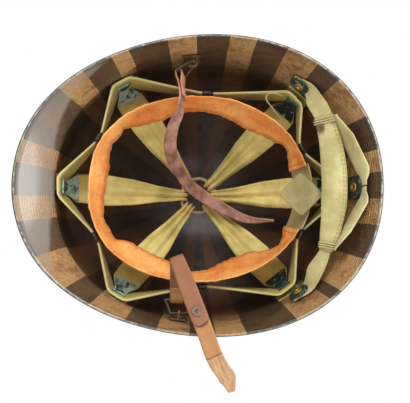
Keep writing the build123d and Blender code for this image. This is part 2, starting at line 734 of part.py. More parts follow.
# Right chin strap: a loop from its bail up over the sweatband, a flap folded back over
# it towards the rim, and under the flap a torn tail that crosses the rim
fold_inset = 18.5
flap_over_rim = 5.9
flap_length = 62.0
flap_rise = 26.0
flap_plan = Vector(0.36, -0.93, 0).normalized()
flap_width = 13.5
knuckle_radius = leather_thick + clearance / 2
rim_side = side_radius + side_flare
fold_y = fold_inset - sweat_side
fold_height = shell_height + flap_over_rim - (rim_side + fold_y) * tan(radians(flap_rise)) / -flap_plan.Y
fold_centre = Vector(right_hold.X, fold_y, fold_height)
flap_run = flap_plan * cos(radians(flap_rise)) + Vector(0, 0, sin(radians(flap_rise)))
fold_axis = Vector(-flap_plan.Y, flap_plan.X, 0)
flap_plane = Plane(origin=fold_centre, x_dir=flap_run, z_dir=flap_run.cross(fold_axis))
knuckle_plane = Plane(origin=fold_centre, z_dir=fold_axis)

under_run = Vector(0, fold_centre.Y - right_hold.Y, fold_centre.Z - nip - right_hold.Z)
right_plane = Plane(origin=right_hold, x_dir=under_run, z_dir=right_bar)
with BuildPart() as right_loop:
    with BuildSketch(right_plane):
        with BuildLine():
            Polyline(*ribbon(loop_line(right_tuck, under_run.length), leather_thick), close=True)
        make_face()
    extrude(amount=chin_width / 2, both=True)
    with BuildSketch(knuckle_plane):
        Circle(knuckle_radius + clearance)
    extrude(amount=2 * chin_width, both=True, mode=Mode.SUBTRACT)
right_loop.part.label = "right_strap_loop"
export_step(right_loop.part, "parts/right_strap_loop.step")

snap_along = 49.5
snap_cap_radius = 4.5
snap_cap_height = 1.2
snap_foot_radius = 3.4
snap_taper = 30
flap_low = knuckle_radius - leather_thick
with BuildPart() as right_flap:
    with BuildSketch(flap_plane.offset(flap_low)):
        with Locations(((flap_length - flap_width / 2) / 2, 0)):
            Rectangle(flap_length - flap_width / 2, flap_width)
        with Locations((flap_length - flap_width / 2, 0)):
            Circle(flap_width / 2)
        with Locations((snap_along, 0)):
            Circle(rivet_shank_radius + rivet_clearance, mode=Mode.SUBTRACT)
    extrude(amount=leather_thick)
    with BuildSketch(knuckle_plane):
        Circle(knuckle_radius)
    extrude(amount=flap_width / 2, both=True)
right_flap.part.label = "right_strap_flap"
export_step(right_flap.part, "parts/right_strap_flap.step")

tail_start = 39.0
tail_over_rim = 72.0
tail_low = flap_low - clearance - leather_thick / 2
tail_out_shares = [(0.439, 0.185, 0.12), (0.506, 0.323, 0.04), (0.62, 0.499, -0.08), (0.675, 0.657, -0.173)]
tail_width_shares = [1, 1, 1, 1, 0.95, 0.5]
with BuildPart() as right_tail:
    flap_places = [Vector(tail_start, 0, tail_low), Vector(tail_over_rim, 0, tail_low)]
    points = [flap_plane.from_local_coords(place) for place in flap_places]
    for x, y, z in tail_out_shares:
        over = Vector(x * flap_length, -y * flap_length, z * flap_length)
        points.append(Vector(fold_centre.X, -rim_side, shell_height) + over)
    planes = [Plane(origin=points[0], x_dir=fold_axis, z_dir=flap_run)]
    planes += [Plane(origin=points[1], x_dir=fold_axis, z_dir=flap_run)]
    planes += strap_planes(points, [fold_axis] * len(points))[2:]
    for plane, share in zip(planes, tail_width_shares):
        with BuildSketch(plane):
            Rectangle(chin_width * share, leather_thick)
    loft(ruled=True)
    with BuildSketch(flap_plane.offset(flap_low)):
        with Locations((snap_along, 0)):
            Circle(rivet_shank_radius + 2 * rivet_clearance)
    extrude(amount=-leather_thick - 2 * clearance, mode=Mode.SUBTRACT)
right_tail.part.label = "right_strap_tail"
export_step(right_tail.part, "parts/right_strap_tail.step")

with BuildPart() as snap:
    with BuildSketch(flap_plane.offset(flap_low + leather_thick)):
        with Locations((snap_along, 0)):
            Circle(snap_cap_radius)
    extrude(amount=snap_cap_height, taper=snap_taper)
    with BuildSketch(flap_plane.offset(flap_low + leather_thick)):
        with Locations((snap_along, 0)):
            Circle(rivet_shank_radius)
    extrude(amount=-2 * leather_thick - 2 * clearance)
    with BuildSketch(flap_plane.offset(flap_low - leather_thick - 2 * clearance)):
        with Locations((snap_along, 0)):
            Circle(snap_foot_radius)
    extrude(amount=-snap_cap_height / 2)
snap.part.label = "right_strap_snap"
export_step(snap.part, "parts/right_strap_snap.step")

# Loose end of tying cord, hanging from the head band beside the left rear washer
cord_radius = 0.6
cord_corner_share = 0.45
cord_route = [(68.3, 73.5, 116.0), (66.3, 72.6, 121.2), (60.6, 74.9, 124.6), (55.4, 74.7, 123.2),
              (53.4, 70.9, 120.2), (56.4, 66.8, 117.4), (60.0, 62.7, 115.6), (63.3, 58.1, 115.0)]
cord_points = [Vector(*point) for point in cord_route]
cord_radii = []
for before, point, after in zip(cord_points, cord_points[1:], cord_points[2:]):
    turn = (point - before).get_angle(after - point)
    shorter = min((point - before).length, (after - point).length)
    cord_radii.append(cord_corner_share * shorter / tan(radians(turn / 2)))
print("loose cord radii", [round(radius, 1) for radius in cord_radii])
with BuildPart() as loose_cord:
    with BuildLine() as path:
        FilletPolyline(*cord_points, radius=cord_radii)
    with BuildSketch(Plane(origin=path.line @ 0, z_dir=path.line % 0)):
        Circle(cord_radius)
    sweep()
cord_length = sum(edge.length for edge in path.edges())
print("loose cord length", round(cord_length, 1), "volume", round(loose_cord.part.volume, 1))
loose_cord.part.label = "loose_tie_cord"
export_step(loose_cord.part, "parts/loose_tie_cord.step")
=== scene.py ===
import bpy
import numpy as np
from mathutils import Matrix, Vector


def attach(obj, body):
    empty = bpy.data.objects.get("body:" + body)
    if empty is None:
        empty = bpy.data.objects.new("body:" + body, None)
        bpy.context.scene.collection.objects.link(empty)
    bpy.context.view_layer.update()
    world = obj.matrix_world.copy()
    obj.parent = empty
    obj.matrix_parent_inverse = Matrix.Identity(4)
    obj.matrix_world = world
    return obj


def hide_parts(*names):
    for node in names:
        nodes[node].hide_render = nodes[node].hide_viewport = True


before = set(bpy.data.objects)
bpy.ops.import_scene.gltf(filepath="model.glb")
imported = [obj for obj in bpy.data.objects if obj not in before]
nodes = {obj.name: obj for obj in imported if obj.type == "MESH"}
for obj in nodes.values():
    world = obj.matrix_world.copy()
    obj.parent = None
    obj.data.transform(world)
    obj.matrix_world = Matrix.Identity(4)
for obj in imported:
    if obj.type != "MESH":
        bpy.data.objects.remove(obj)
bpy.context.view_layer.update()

# The view. The liner lies on its crown with its open side up, and is seen from 1.3 m
# above the rim, from a little on the wearer's right. The light is soft and comes from
# above on the left side, with a wide pale panel low beyond the nape for the gloss.
def linked(name, data):
    """An object of some camera, lamp, mesh or curve data, put in the scene."""
    made = bpy.data.objects.new(name, data)
    bpy.context.scene.collection.objects.link(made)
    return made


eye = Vector((0.0, -0.1023, 1.465))
aim = Vector((0.006, -0.0128, 0.165))
camera_data = bpy.data.cameras.new("camera")
camera_data.lens = 152.3
camera_data.sensor_width = 36.0
camera_data.clip_start = 0.05
camera = linked("camera", camera_data)
down = (aim - eye).normalized()
right = down.cross(Vector((0, 1, 0))).normalized()
facing = Matrix((right, right.cross(down), -down)).transposed().to_4x4()
camera.matrix_world = Matrix.Translation(eye) @ facing
bpy.context.scene.camera = camera
bpy.context.scene.view_settings.view_transform = "Standard"


def lamp(name, place, towards, width, height, power):
    """A soft lamp, width by height, at a place and facing another."""
    data = bpy.data.lights.new(name, "AREA")
    data.shape, data.size, data.size_y, data.energy = "RECTANGLE", width, height, power
    made = linked(name, data)
    made.location = place
    made.rotation_euler = (Vector(towards) - Vector(place)).to_track_quat("-Z", "Y").to_euler()


lamp("top_lamp", (-0.2, 0.9, 1.5), (0, 0, 0.1), 1.0, 1.0, 17)
lamp("nape_panel", (1.25, 0.0, 0.62), (0, 0, 0.15), 4.4, 0.8, 38)
lamp("fill_lamp", (-0.3, -1.2, 1.3), (0, 0, 0.1), 1.2, 1.2, 8)


# The floor is a plain pale sheet under the crown. The camera and the gloss see it and the
# world as white, and every other ray meets a matt grey that takes the shadow.
class Wire:
    """A socket in a finish's node tree. Arithmetic on it adds Math nodes."""

    def __init__(self, tree, socket=None):
        self.tree = tree
        self.socket = socket

    def node(self, kind, settings=(), links=(), out=0):
        """A node of a kind, its settings first, then values or wires for its sockets."""
        made = self.tree.nodes.new(kind)
        for name, value in dict(settings).items():
            if name == "stops":
                ramp = made.color_ramp
                while len(ramp.elements) < len(value):
                    ramp.elements.new(1.0)
                for element, (place, colour) in zip(ramp.elements, value):
                    element.position = place
                    element.color = (*colour, 1.0)
            elif name == "interpolation":
                made.color_ramp.interpolation = value
            else:
                setattr(made, name, value)
        for name, value in dict(links).items():
            socket = made.inputs[name]
            if isinstance(value, Wire):
                self.tree.links.new(value.socket, socket)
            else:
                socket.default_value = value
        return Wire(self.tree, made.outputs[out])

    def place(self):
        """Where a point is in the object, in metres."""
        return self.node("ShaderNodeTexCoord", out=3)

    def cloth(self):
        """The piece's own map, in metres across it and along it."""
        return self.node("ShaderNodeUVMap", {"uv_map": "cloth"})

    def part(self, index):
        """One part of a vector."""
        return self.node("ShaderNodeSeparateXYZ", links={0: self}, out=index)

    def math(self, operation, *others):
        """A Math node on this value and others."""
        return self.node("ShaderNodeMath", {"operation": operation}, dict(enumerate((self, *others))))

    def wave(self, length):
        """One wave to a length: sin(2 pi x / length)."""
        return (self * (2 * np.pi / length)).math("SINE")

    def off(self, value):
        """How far this value is from another, |x - value|."""
        return (self - value).math("ABSOLUTE")

    def mix(self, factor, colour_a, colour_b):
        """Two colours mixed by a factor f: (1 - f) a + f b."""
        return self.node("ShaderNodeMix", {"data_type": "RGBA"}, {0: factor, 6: colour_a, 7: colour_b}, 2)

    def step(self, low, high):
        """A smooth step, 3t^2 - 2t^3, of t from 0 at low to 1 at high."""
        return self.node("ShaderNodeMapRange", {"interpolation_type": "SMOOTHSTEP"},
                         {0: self, 1: low, 2: high, 3: 0.0, 4: 1.0})

    def noise(self, vector, scale, detail=3.0, rough=0.5):
        """Noise of a scale in repeats a metre, from 0 to 1."""
        return self.node("ShaderNodeTexNoise", {}, {"Vector": vector, "Scale": scale, "Detail": detail,
                                                    "Roughness": rough})

    def __add__(self, other):
        return self.math("ADD", other)

    def __sub__(self, other):
        return self.math("SUBTRACT", other)

    def __rsub__(self, other):
        return self.math("MULTIPLY_ADD", -1.0, other)

    def __mul__(self, other):
        return self.math("MULTIPLY", other)

    def __truediv__(self, other):
        return self.math("DIVIDE", other)

    def __pow__(self, other):
        return self.math("POWER", other)

    __radd__ = __add__
    __rmul__ = __mul__


def srgb(red, green, blue):
    """A screen colour, 0 to 255, as a linear one with alpha: (c / 255)^2.2."""
    return *[(value / 255) ** 2.2 for value in (red, green, blue)], 1.0


def finish(name):
    """A new material: its shader, and a wire to build the rest of its tree from."""
    made = bpy.data.materials.new(name)
    made.use_nodes = True
    tree = made.node_tree
    return made, tree.nodes["Principled BSDF"], Wire(tree)


def feed(shader, wires, **constants):
    """Links wires to a shader's sockets and sets its constants."""
    for name, wire in wires.items():
        wire.tree.links.new(wire.socket, shader.inputs[name])
    for name, value in constants.items():
        shader.inputs[name.replace("_", " ")].default_value = value


def bump(wire, height, strength, distance):
    """The shading normal of a height from 0 to 1, which stands for a distance in metres."""
    return wire.node("ShaderNodeBump", {}, {"Strength": strength, "Distance": distance, "Height": height})


floor_half = 0.22
floor_mesh = bpy.data.meshes.new("floor")
floor_corners = [(x * floor_half, y * floor_half, 0) for x, y in ((-1, -1), (1, -1), (1, 1), (-1, 1))]
floor_mesh.from_pydata(floor_corners, [], [(0, 1, 2, 3)])
floor = linked("floor", floor_mesh)
floor_finish, floor_shader, wire = finish("pale_floor")
feed(floor_shader, {}, Base_Color=(0.8, 0.8, 0.8, 1), Roughness=0.9)
camera_ray, gloss_ray = [wire.node("ShaderNodeLightPath", out=index) for index in (0, 3)]
glow = wire.node("ShaderNodeEmission")
mixed = wire.node("ShaderNodeMixShader", {}, {0: camera_ray.math("MAXIMUM", gloss_ray),
                                              1: Wire(wire.tree, floor_shader.outputs[0]), 2: glow})
wire.tree.links.new(mixed.socket, wire.tree.nodes["Material Output"].inputs[0])
floor_mesh.materials.append(floor_finish)
world = bpy.data.worlds.new("studio")
world.use_nodes = True
sky = Wire(world.node_tree)
camera_ray, gloss_ray, through_ray = [sky.node("ShaderNodeLightPath", out=index) for index in (0, 3, 6)]
direct = camera_ray.math("MAXIMUM", gloss_ray).math("MAXIMUM", through_ray)
background = world.node_tree.nodes["Background"]
world.node_tree.links.new((direct * 0.55 + 0.45).socket, background.inputs[1])
background.inputs[0].default_value = (1, 1, 1, 1)
bpy.context.scene.world = world


# The loose end of cord: a stray length of thin twisted tying cord that comes up off the
# head band beside the left rear washer, turns over and hangs down inside the band.
def fasten(made, body, node):
    """Says which body a piece moves with, which CAD node it stands for."""
    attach(made, body)
    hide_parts(node)


stray_radius = 0.0006
stray_route = [(68.3, 73.5, 116.0), (66.3, 72.6, 121.2), (60.6, 74.9, 124.6), (55.4, 74.7, 123.2),
               (53.4, 70.9, 120.2), (56.4, 66.8, 117.4), (60.0, 62.7, 115.6), (63.3, 58.1, 115.0)]
stray_data = bpy.data.curves.new("loose_cord", "CURVE")
stray_data.dimensions = "3D"
stray_line = stray_data.splines.new("NURBS")
stray_line.points.add(len(stray_route) - 1)
for point, (x, y, z) in zip(stray_line.points, stray_route):
    point.co = (x / 1000, y / 1000, z / 1000, 1)
    point.radius = stray_radius
stray_line.order_u = 3
stray_line.use_endpoint_u = True
stray_line.resolution_u = 16
stray_data.bevel_depth = 1.0
stray_data.bevel_resolution = 3
stray_data.use_fill_caps = True
stray = linked("loose_cord", stray_data)
fasten(stray, "liner", "loose_tie_cord")
cord_finish, shader, wire = finish("twisted_cord")
place = wire.place()
twist = wire.node("ShaderNodeTexWave", {},
                  {"Vector": place, "Scale": 420.0, "Distortion": 1.5, "Detail": 1.0}, 1)
fray = wire.noise(place, 900.0)
tint = wire.mix(twist * 0.6 + fray * 0.4, srgb(150, 135, 95), srgb(228, 212, 160))
feed(shader, {"Base Color": tint, "Normal": bump(wire, twist, 0.6, 0.0003)}, Roughness=0.85)
stray_data.materials.append(cord_finish)


# Shell: layers of canvas pressed in resin to one egg-shaped bowl with a flared peak. It
# is glossy inside, where the canvas strips show light and dark, and painted outside. The
# edge is trimmed bare and worn pale, and painted paler still as a highlight on its top,
# with a painted shade in the corner just inside it.
shell_height, shell_wall, crown_flat, dome_height = 0.165, 0.0026, 0.0005, 0.115
# Each wall's reach at the dome's foot, its flare, the height where that starts and its power
side_wall = (0.1035, 0.011, 0.100, 1.3)
front_wall = (0.1135, 0.052, 0.118, 1.25)
rear_wall = (0.115, 0.032, 0.105, 1.66)
peak_drop, nape_drop, rim_reach = 0.017, 0.006, 0.140
edge_round = 0.0011
widest_share, front_full, front_eases, rear_full, rear_fills = 0.106, 2.3, 0.46, 1.95, 0.20


def reach(sizes, height, inset):
    """Wall from the axis: a quarter ellipse, then a flare that grows as a power of the height."""
    radius, flare, start, power = sizes
    sink = np.maximum(0, dome_height - height) / (dome_height - inset)
    rise = np.maximum(0, height - start) / (shell_height - start)
    lean = flare * power * rise ** (power - 1) / (shell_height - start)
    dome = (radius - inset) * np.sqrt(np.maximum(0, 1 - sink**2))
    return dome + flare * rise**power - inset * (np.sqrt(1 + lean**2) - 1)


def egg(front, rear, side, widest, front_full, rear_full, turn):
    """Two half superellipses, |x|^n + |y|^n = 1 stretched, that meet at the widest place."""
    along, across = np.cos(turn), np.sin(turn)
    full = np.where(along >= 0, rear_full, front_full)
    length = np.where(along >= 0, rear - widest, front + widest)
    x = widest + np.copysign(length * np.abs(along) ** (2 / full), along)
    return x, np.copysign(side * np.abs(across) ** (2 / full), across)


def wall(turn, height, inset=shell_wall):
    """The wall's x and y at a turn round the egg and a height above the flat."""
    level = height + crown_flat
    side = reach(side_wall, level, inset)
    rise = np.clip((level - side_wall[2]) / (shell_height - side_wall[2]), 0, 1)
    return egg(reach(front_wall, level, inset), reach(rear_wall, level, inset), side, widest_share * side,
               front_full - front_eases * rise, rear_full + rear_fills * rise, turn)


def at_bearing(outline, bearing):
    """The x and y of an outline, a function of its turn, on bearings in degrees from the axis."""
    turns = np.linspace(-np.pi, np.pi, 2881)
    x, y = outline(turns)
    bearings = np.degrees(np.unwrap(np.arctan2(y, x)))
    turn = np.interp(bearing, bearings, turns)
    return outline(turn)


def rim_height(x):
    """The rim dips as the square of the distance towards the peak and the nape."""
    return shell_height - np.where(x < 0, peak_drop, nape_drop) * (x / rim_reach) ** 2


def corners(grid):
    """The four corners of every cell of a grid, in order round it."""
    return np.stack([grid[:-1, :-1], grid[:-1, 1:], grid[1:, 1:], grid[1:, :-1]], 2)


def grid_mesh(name, grid, uv, finishes, slots=None, ends=True):
    """A mesh of a grid of points, rows by columns, closed round its columns and capped."""
    rows, cols = grid.shape[:2]
    index = np.arange(rows * cols).reshape(rows, cols)
    index = np.hstack([index, index[:, :1]])
    faces = corners(index).reshape(-1, 4).tolist()
    corner = corners(uv).reshape(-1, 2)
    if ends:
        faces += [index[0, :cols][::-1].tolist(), index[-1, :cols].tolist()]
        corner = np.vstack([corner, uv[0, :cols][::-1], uv[-1, :cols]])
    mesh = bpy.data.meshes.new(name)
    mesh.from_pydata(grid.reshape(-1, 3).tolist(), [], faces)
    mesh.uv_layers.new(name="cloth").data.foreach_set("uv", corner.ravel().astype(np.float32))
    for one in finishes:
        mesh.materials.append(one)
    if slots is not None:
        caps = [slots[0], slots[-1]] if ends else []
        mesh.polygons.foreach_set("material_index", np.append(slots, caps).astype(int))
    mesh.polygons.foreach_set("use_smooth", [True] * len(faces))
    mesh.update()
    return linked(name, mesh)


# One skin: up the inside from the crown, over the lip and down the outside, in rows of
# points at even turns round the egg. Its map is the bearing and the run up the wall.
around, inner_rows, lip_rows, outer_rows = 360, 150, 5, 120
turns = np.linspace(-np.pi, np.pi, around, endpoint=False)
top = np.full(around, shell_height)
for _ in range(20):
    top = rim_height(wall(turns, top, 0)[0])
fall = np.cos(np.linspace(0, np.pi / 2, inner_rows))[:, None]
inner_z = shell_wall + (top - edge_round - shell_wall) * (1 - fall)
outer_z = (top - edge_round) * (1 - np.cos(np.linspace(np.pi / 2, 0, outer_rows))[:, None])
inner = np.stack([*wall(turns, inner_z), inner_z], -1)
outer = np.stack([*wall(turns, outer_z, 0), outer_z], -1)
lip_turn = np.linspace(0, np.pi, lip_rows + 2)[1:-1, None, None]
middle, half = (inner[-1] + outer[0]) / 2, (inner[-1] - outer[0]) / 2
lip = middle + half * np.cos(lip_turn) + np.array([0, 0, edge_round]) * np.sin(lip_turn)
skin = np.vstack([inner, lip, outer])
step = np.linalg.norm(np.diff(skin, axis=0), axis=-1)
run = np.vstack([np.zeros(around), np.cumsum(step, axis=0)])
run -= run[inner_rows + lip_rows // 2]
bearing = np.degrees(np.arctan2(skin[..., 1], skin[..., 0])) / 360 + 0.5
bearing[:, 0] = np.where(bearing[:, 0] > 0.5, 0, bearing[:, 0])
skin_uv = np.stack([np.hstack([bearing, np.ones((len(skin), 1))]), np.hstack([run, run[:, :1]])], -1)
skin_slots = np.repeat((np.arange(len(skin) - 1) >= inner_rows + lip_rows // 2 + 1).astype(int), around)

# Where the light strips of canvas start and end, in degrees round from the nape
light_strips = [(-177.7, -169.9), (-156.4, -142.4), (-133.1, -119), (-105.6, -93.4), (-83.1, -71.9),
                (-53.6, -42), (-36.8, -24), (-13.9, -4.8), (4.2, 11.1), (22.5, 35.9), (44.6, 55.1),
                (67.5, 76.7), (88.8, 100.1), (115.8, 123.5), (133.6, 144.8), (164.8, 172.3)]
strip_ends = [(start / 360 + 0.5, end / 360 + 0.5) for start, end in light_strips]

# A ramp holds 32 stops, so the last strip is made of two steps beside it
strip_stops = [(0.0, (0, 0, 0))]
for start, end in strip_ends[:-1]:
    strip_stops += [(start, (1, 1, 1)), (end, (0, 0, 0))]
inside_finish, shader, wire = finish("resin_canvas")
cloth = wire.cloth()
place = wire.place()
height = place.part(2)
u, v = cloth.part(0), cloth.part(1)
wobble = wire.noise(place, 28.0, 2.0)
mottle = wire.noise(place, 60.0, 5.0, 0.65)
grit = wire.noise(place, 420.0, 4.0, 0.7)
strips = wire.node("ShaderNodeValToRGB", {"interpolation": "CONSTANT", "stops": strip_stops},
                   {0: u + (wobble - 0.5) * 0.003})
last_start, last_end = [(u - turn).step(-0.0005, 0.0005) for turn in strip_ends[-1]]
light = strips.math("MAXIMUM", last_start * (1 - last_end))
skew = v + (mottle - 0.5) * 0.0016
threads_round, thread_rise = 380, 0.0052
one_way = (u * threads_round + skew / thread_rise).wave(1)
other_way = (u * threads_round - skew / thread_rise).wave(1)
weave = (one_way * other_way * 0.5 + 0.5) * 0.4 + grit * 0.6
shallow = (height + (mottle - 0.5) * 0.03).step(0.055, 0.118)
brim = (height + (mottle - 0.5) * 0.02).step(0.095, 0.150)
cloudy = wire.noise(place, 22.0, 3.0, 0.6)
crown_tint = wire.mix((cloudy * 0.6 + mottle * 0.4).step(0.35, 0.65), srgb(36, 28, 26), srgb(80, 64, 54))
brown = wire.mix(mottle.step(0.35, 0.65), srgb(40, 24, 19), srgb(82, 52, 37))
dark_tint = wire.mix(shallow, crown_tint, brown)
tan_tint = wire.mix(brim, srgb(128, 82, 44), srgb(176, 130, 82))
tan_tint = wire.mix(shallow * 0.85 + 0.15, crown_tint, tan_tint)
threaded = wire.mix(light, dark_tint, tan_tint)
dark_thread = wire.mix(0.62, threaded, srgb(22, 15, 13))
pale_thread = wire.mix(light * 0.34 + 0.10, threaded, srgb(228, 190, 134))
cloth_tint = wire.mix(weave.step(0.36, 0.6), dark_thread, pale_thread)
threaded = wire.mix(shallow * 0.95 + 0.05, threaded, cloth_tint)
stain = wire.mix(light, srgb(40, 24, 20), srgb(92, 56, 32))
threaded = wire.mix(mottle.step(0.44, 0.66) * 0.75, threaded, stain)
# The top of the lip: worn pale, and painted paler as a highlight where it faces up
worn = (v - 0.0002 + (mottle - 0.5) * 0.003).step(-0.0004, 0.0004)
edge_wear_and_highlight = wire.mix(wire.noise(place, 240.0, 4.0).step(0.3, 0.7), srgb(92, 82, 72), srgb(206, 194, 178))
peak = (0.0 - place.part(0)).step(0.04, 0.085)

# A painted sheen: a pale grey reflection of the lamps painted over the brim, which starts higher the further
# round from the peak it is
sheen_foot, sheen_rise, sheen_reach, lean = 0.1185, 0.042, 58, 0.45
turned_away = (0.5 - u.off(0.5)) * 360 * (1 + lean - (u - 0.5).step(-0.01, 0.01) * lean)
sheen_start = (turned_away / sheen_reach) ** 1.6 * sheen_rise + sheen_foot
painted_sheen = (height - sheen_start + (mottle - 0.5) * 0.004).step(-0.0015, 0.0035) * (1 - turned_away.step(44, 62))
sheen_tint = wire.mix(light, srgb(148, 142, 134), srgb(152, 134, 112))
threaded = wire.mix(painted_sheen * (0.5 + mottle * 0.2), threaded, sheen_tint)
# Painted shade: a dark band in the corner just inside the lip, lighter on the light strips
line = (v + 0.0022).step(-0.0006, 0.0004) * (1 - light * 0.7)
inner_tint = wire.mix(worn * 0.9, wire.mix(line * 0.75, threaded, srgb(24, 17, 15)), edge_wear_and_highlight)
feed(shader, {"Base Color": inner_tint,
              "Roughness": 0.40 + mottle * 0.14 + worn * 0.3,
              "Coat Weight": peak * 0.4 + 0.15,
              "Normal": bump(wire, weave * shallow + cloudy * 2, 0.35, 0.0004)},
     Coat_Roughness=0.17, Coat_IOR=1.8)

outside_finish, shader, wire = finish("olive_paint")
place = wire.place()
cork = wire.noise(place, 520.0, 3.0, 0.7)
patches = wire.noise(place, 22.0, 4.0)
scuff = wire.noise(place, 75.0, 6.0, 0.75).step(0.60, 0.72)
height = place.part(2)
rub = scuff * ((0.02 - height).step(-0.03, 0.01) * 0.7 + 0.15)
paint = wire.mix(patches, srgb(66, 68, 44), srgb(88, 88, 58))
feed(shader, {"Base Color": wire.mix(rub, paint, srgb(128, 108, 80)), "Roughness": 0.62 + cork * 0.2,
              "Normal": bump(wire, cork, 0.5, 0.0005)})

shell = grid_mesh("shell_bowl", skin, skin_uv, [inside_finish, outside_finish], skin_slots)
fasten(shell, "liner", "shell")


# Straps. Every strap of webbing or leather is a surface with a thickness: a middle sheet
# worked out in two directions, across and along, then a face each side of it.
def unit(vectors):
    """Vectors along the last axis, each divided by its length, v / |v|."""
    vectors = np.asarray(vectors, float)
    return vectors / np.linalg.norm(vectors, axis=-1, keepdims=True)


def lengths(line):
    """The distance along a line of points: the running sum of |p(i+1) - p(i)|, from 0."""
    return np.append(0, np.cumsum(np.linalg.norm(np.diff(line, axis=0), axis=1)))


def spread(sheet):
    """Shares of a sheet's rows, 0 to 1 along it, and of its columns, -1 to 1 across."""
    rows, cols = sheet.shape[:2]
    return np.linspace(0, 1, rows)[:, None], np.linspace(-1, 1, cols)[None]


def along(points, count):
    """A smooth line through points: cubic Hermite spans, each tangent from its neighbours."""
    points = np.asarray(points, float)
    knots = lengths(points)
    tangents = np.gradient(points, knots, axis=0)
    where = np.linspace(0, knots[-1], count)
    span = np.clip(np.searchsorted(knots, where, "right") - 1, 0, len(knots) - 2)
    width = (knots[span + 1] - knots[span])[:, None]
    t = (where - knots[span])[:, None] / width
    leave, arrive = tangents[span] * width, tangents[span + 1] * width
    ease = 3 * t**2 - 2 * t**3
    between = (1 - ease) * points[span] + ease * points[span + 1]
    return between + (t**3 - 2 * t**2 + t) * leave + (t**3 - t**2) * arrive


def strap(name, sheet, thick, finishes, flip=False):
    """A closed strap from its middle sheet, rows by columns, thinner at its two edges."""
    sheet = np.asarray(sheet, float)
    down_run, across_run = np.gradient(sheet, axis=0), np.gradient(sheet, axis=1)
    normal = unit(np.cross(across_run, down_run)) * (-1 if flip else 1)
    share = np.linspace(-1, 1, sheet.shape[1])
    puff = (thick / 2 * np.sqrt(1 - 0.9 * share**8))[None, :, None]
    grid = np.concatenate([sheet + normal * puff, (sheet - normal * puff)[:, ::-1]], 1)
    if flip:
        grid = grid[:, ::-1]
    length = lengths(sheet[:, sheet.shape[1] // 2])
    width = np.cumsum(np.linalg.norm(np.diff(grid, axis=1, append=grid[:, :1]), axis=-1), axis=1)
    width = np.hstack([np.zeros((len(sheet), 1)), width])
    uv = np.stack([width, np.broadcast_to(length[:, None], width.shape)], -1)
    return grid_mesh(name, grid, uv, finishes)


def ribbon(points, across, widths, count=60, cols=13):
    """A strap's middle sheet: a smooth line, with its across direction and width carried along."""
    line = along(points, count)
    knots = lengths(points)
    where = np.linspace(0, knots[-1], count)
    turned = np.stack([np.interp(where, knots, part) for part in np.transpose(across)], -1)
    ahead = unit(np.gradient(line, axis=0))
    turned = unit(turned - ahead * np.sum(turned * ahead, axis=1, keepdims=True))
    breadth = np.interp(where, knots, widths)
    share = np.linspace(-0.5, 0.5, cols)
    return line[:, None] + turned[:, None] * breadth[:, None, None] * share[None, :, None]


def webbing(name, dark, pale, thread=0.0011, half_width=None, stitches=()):
    """Woven cotton: ribs across and threads along in metres of the strap's own map."""
    made, shader, wire = finish(name)
    cloth = wire.cloth()
    place = wire.place()
    u, v = cloth.part(0), cloth.part(1)
    ribs = v.wave(thread)
    rows = (u + v * 0.5).wave(thread * 1.6)
    weave = ribs * rows * 0.5 + 0.5
    soil = wire.noise(place, 45.0, 4.0, 0.6)
    fuzz = wire.noise(place, 700.0, 2.0)
    tint = wire.mix(soil.step(0.3, 0.7), dark, pale)
    tint = wire.mix(weave * 0.3, tint, wire.mix(0.6, tint, tuple(0.45 * c for c in dark[:3]) + (1,)))
    seam = None
    for offset in stitches:
        line = 1 - u.off(offset).step(0.0002, 0.0006)
        dash = v.wave(0.0032).step(-0.6, -0.2)
        seam = line * dash if seam is None else seam + line * dash
    if half_width is not None:
        rubbed = u.off(half_width).step(half_width - 0.0035, half_width - 0.0006)
        tint = wire.mix(rubbed * 0.75, tint, wire.mix(0.35, pale, srgb(255, 248, 214)))
    bumps = weave + fuzz * 0.5
    if seam is not None:
        tint = wire.mix(seam * 0.7, tint, srgb(150, 130, 78))
        bumps = bumps - seam * 1.5
    feed(shader, {"Base Color": tint, "Roughness": 0.82 + fuzz * 0.12,
                  "Normal": bump(wire, bumps, 0.45, 0.0004)}, Sheen_Weight=0.15)
    return made


crown_thick, band_thick, rear_thick, side_thick, arm_thick = 0.0015, 0.0023, 0.0013, 0.0015, 0.0017
crown_web = webbing("crown_webbing", srgb(200, 182, 104), srgb(242, 226, 146))
band_web = webbing("band_webbing", srgb(164, 150, 64), srgb(212, 196, 102), half_width=0.0132)
nape_web = webbing("nape_webbing", srgb(186, 172, 112), srgb(226, 214, 158), 0.0010)
tab_web = webbing("tab_webbing", srgb(150, 138, 88), srgb(186, 174, 122), 0.0019)


# Where things are riveted: planes on the inside of the wall, as in the part's own source.
def wall_plane(bearing, height, upright=False, foot=None, inset=shell_wall):
    """Origin, clockwise tangent, up and inward of the wall at a bearing and a height."""
    level = height if foot is None else foot

    def spot(turn, z):
        """The point of the wall on a bearing, at a height."""
        return np.array([*at_bearing(lambda t: wall(t, z, inset), turn), z])

    place = spot(bearing, level)
    tangent = unit(spot(bearing + 1, level) - spot(bearing - 1, level))
    slope = unit(spot(bearing, level + 0.001) - spot(bearing, level - 0.001))
    up = np.array([0, 0, 1.0]) if upright else slope
    place[2] = height
    return place, -tangent, up, np.cross(up, tangent)


band_low, band_height, band_mid = 0.092, 0.026, 0.105
band_turns = {"rear": 0, "left_rear": 43, "left_front": 125, "front": 178.5, "right_front": -127,
              "right_rear": -48}
nape_turns = {"left": (45, 0.132), "right": (-46, 0.132), "rear": (0, 0.138)}
chin_turns = {name: np.degrees(np.arctan2(y, x)) for name, x, y in
              (("left", -0.004, side_wall[0]), ("right", -0.015, -side_wall[0]))}
chin_height = 0.117
band_places = {name: wall_plane(turn, band_mid, True, band_low) for name, turn in band_turns.items()}
nape_places = {name: wall_plane(turn, height) for name, (turn, height) in nape_turns.items()}
chin_places = {name: wall_plane(turn, chin_height) for name, turn in chin_turns.items()}


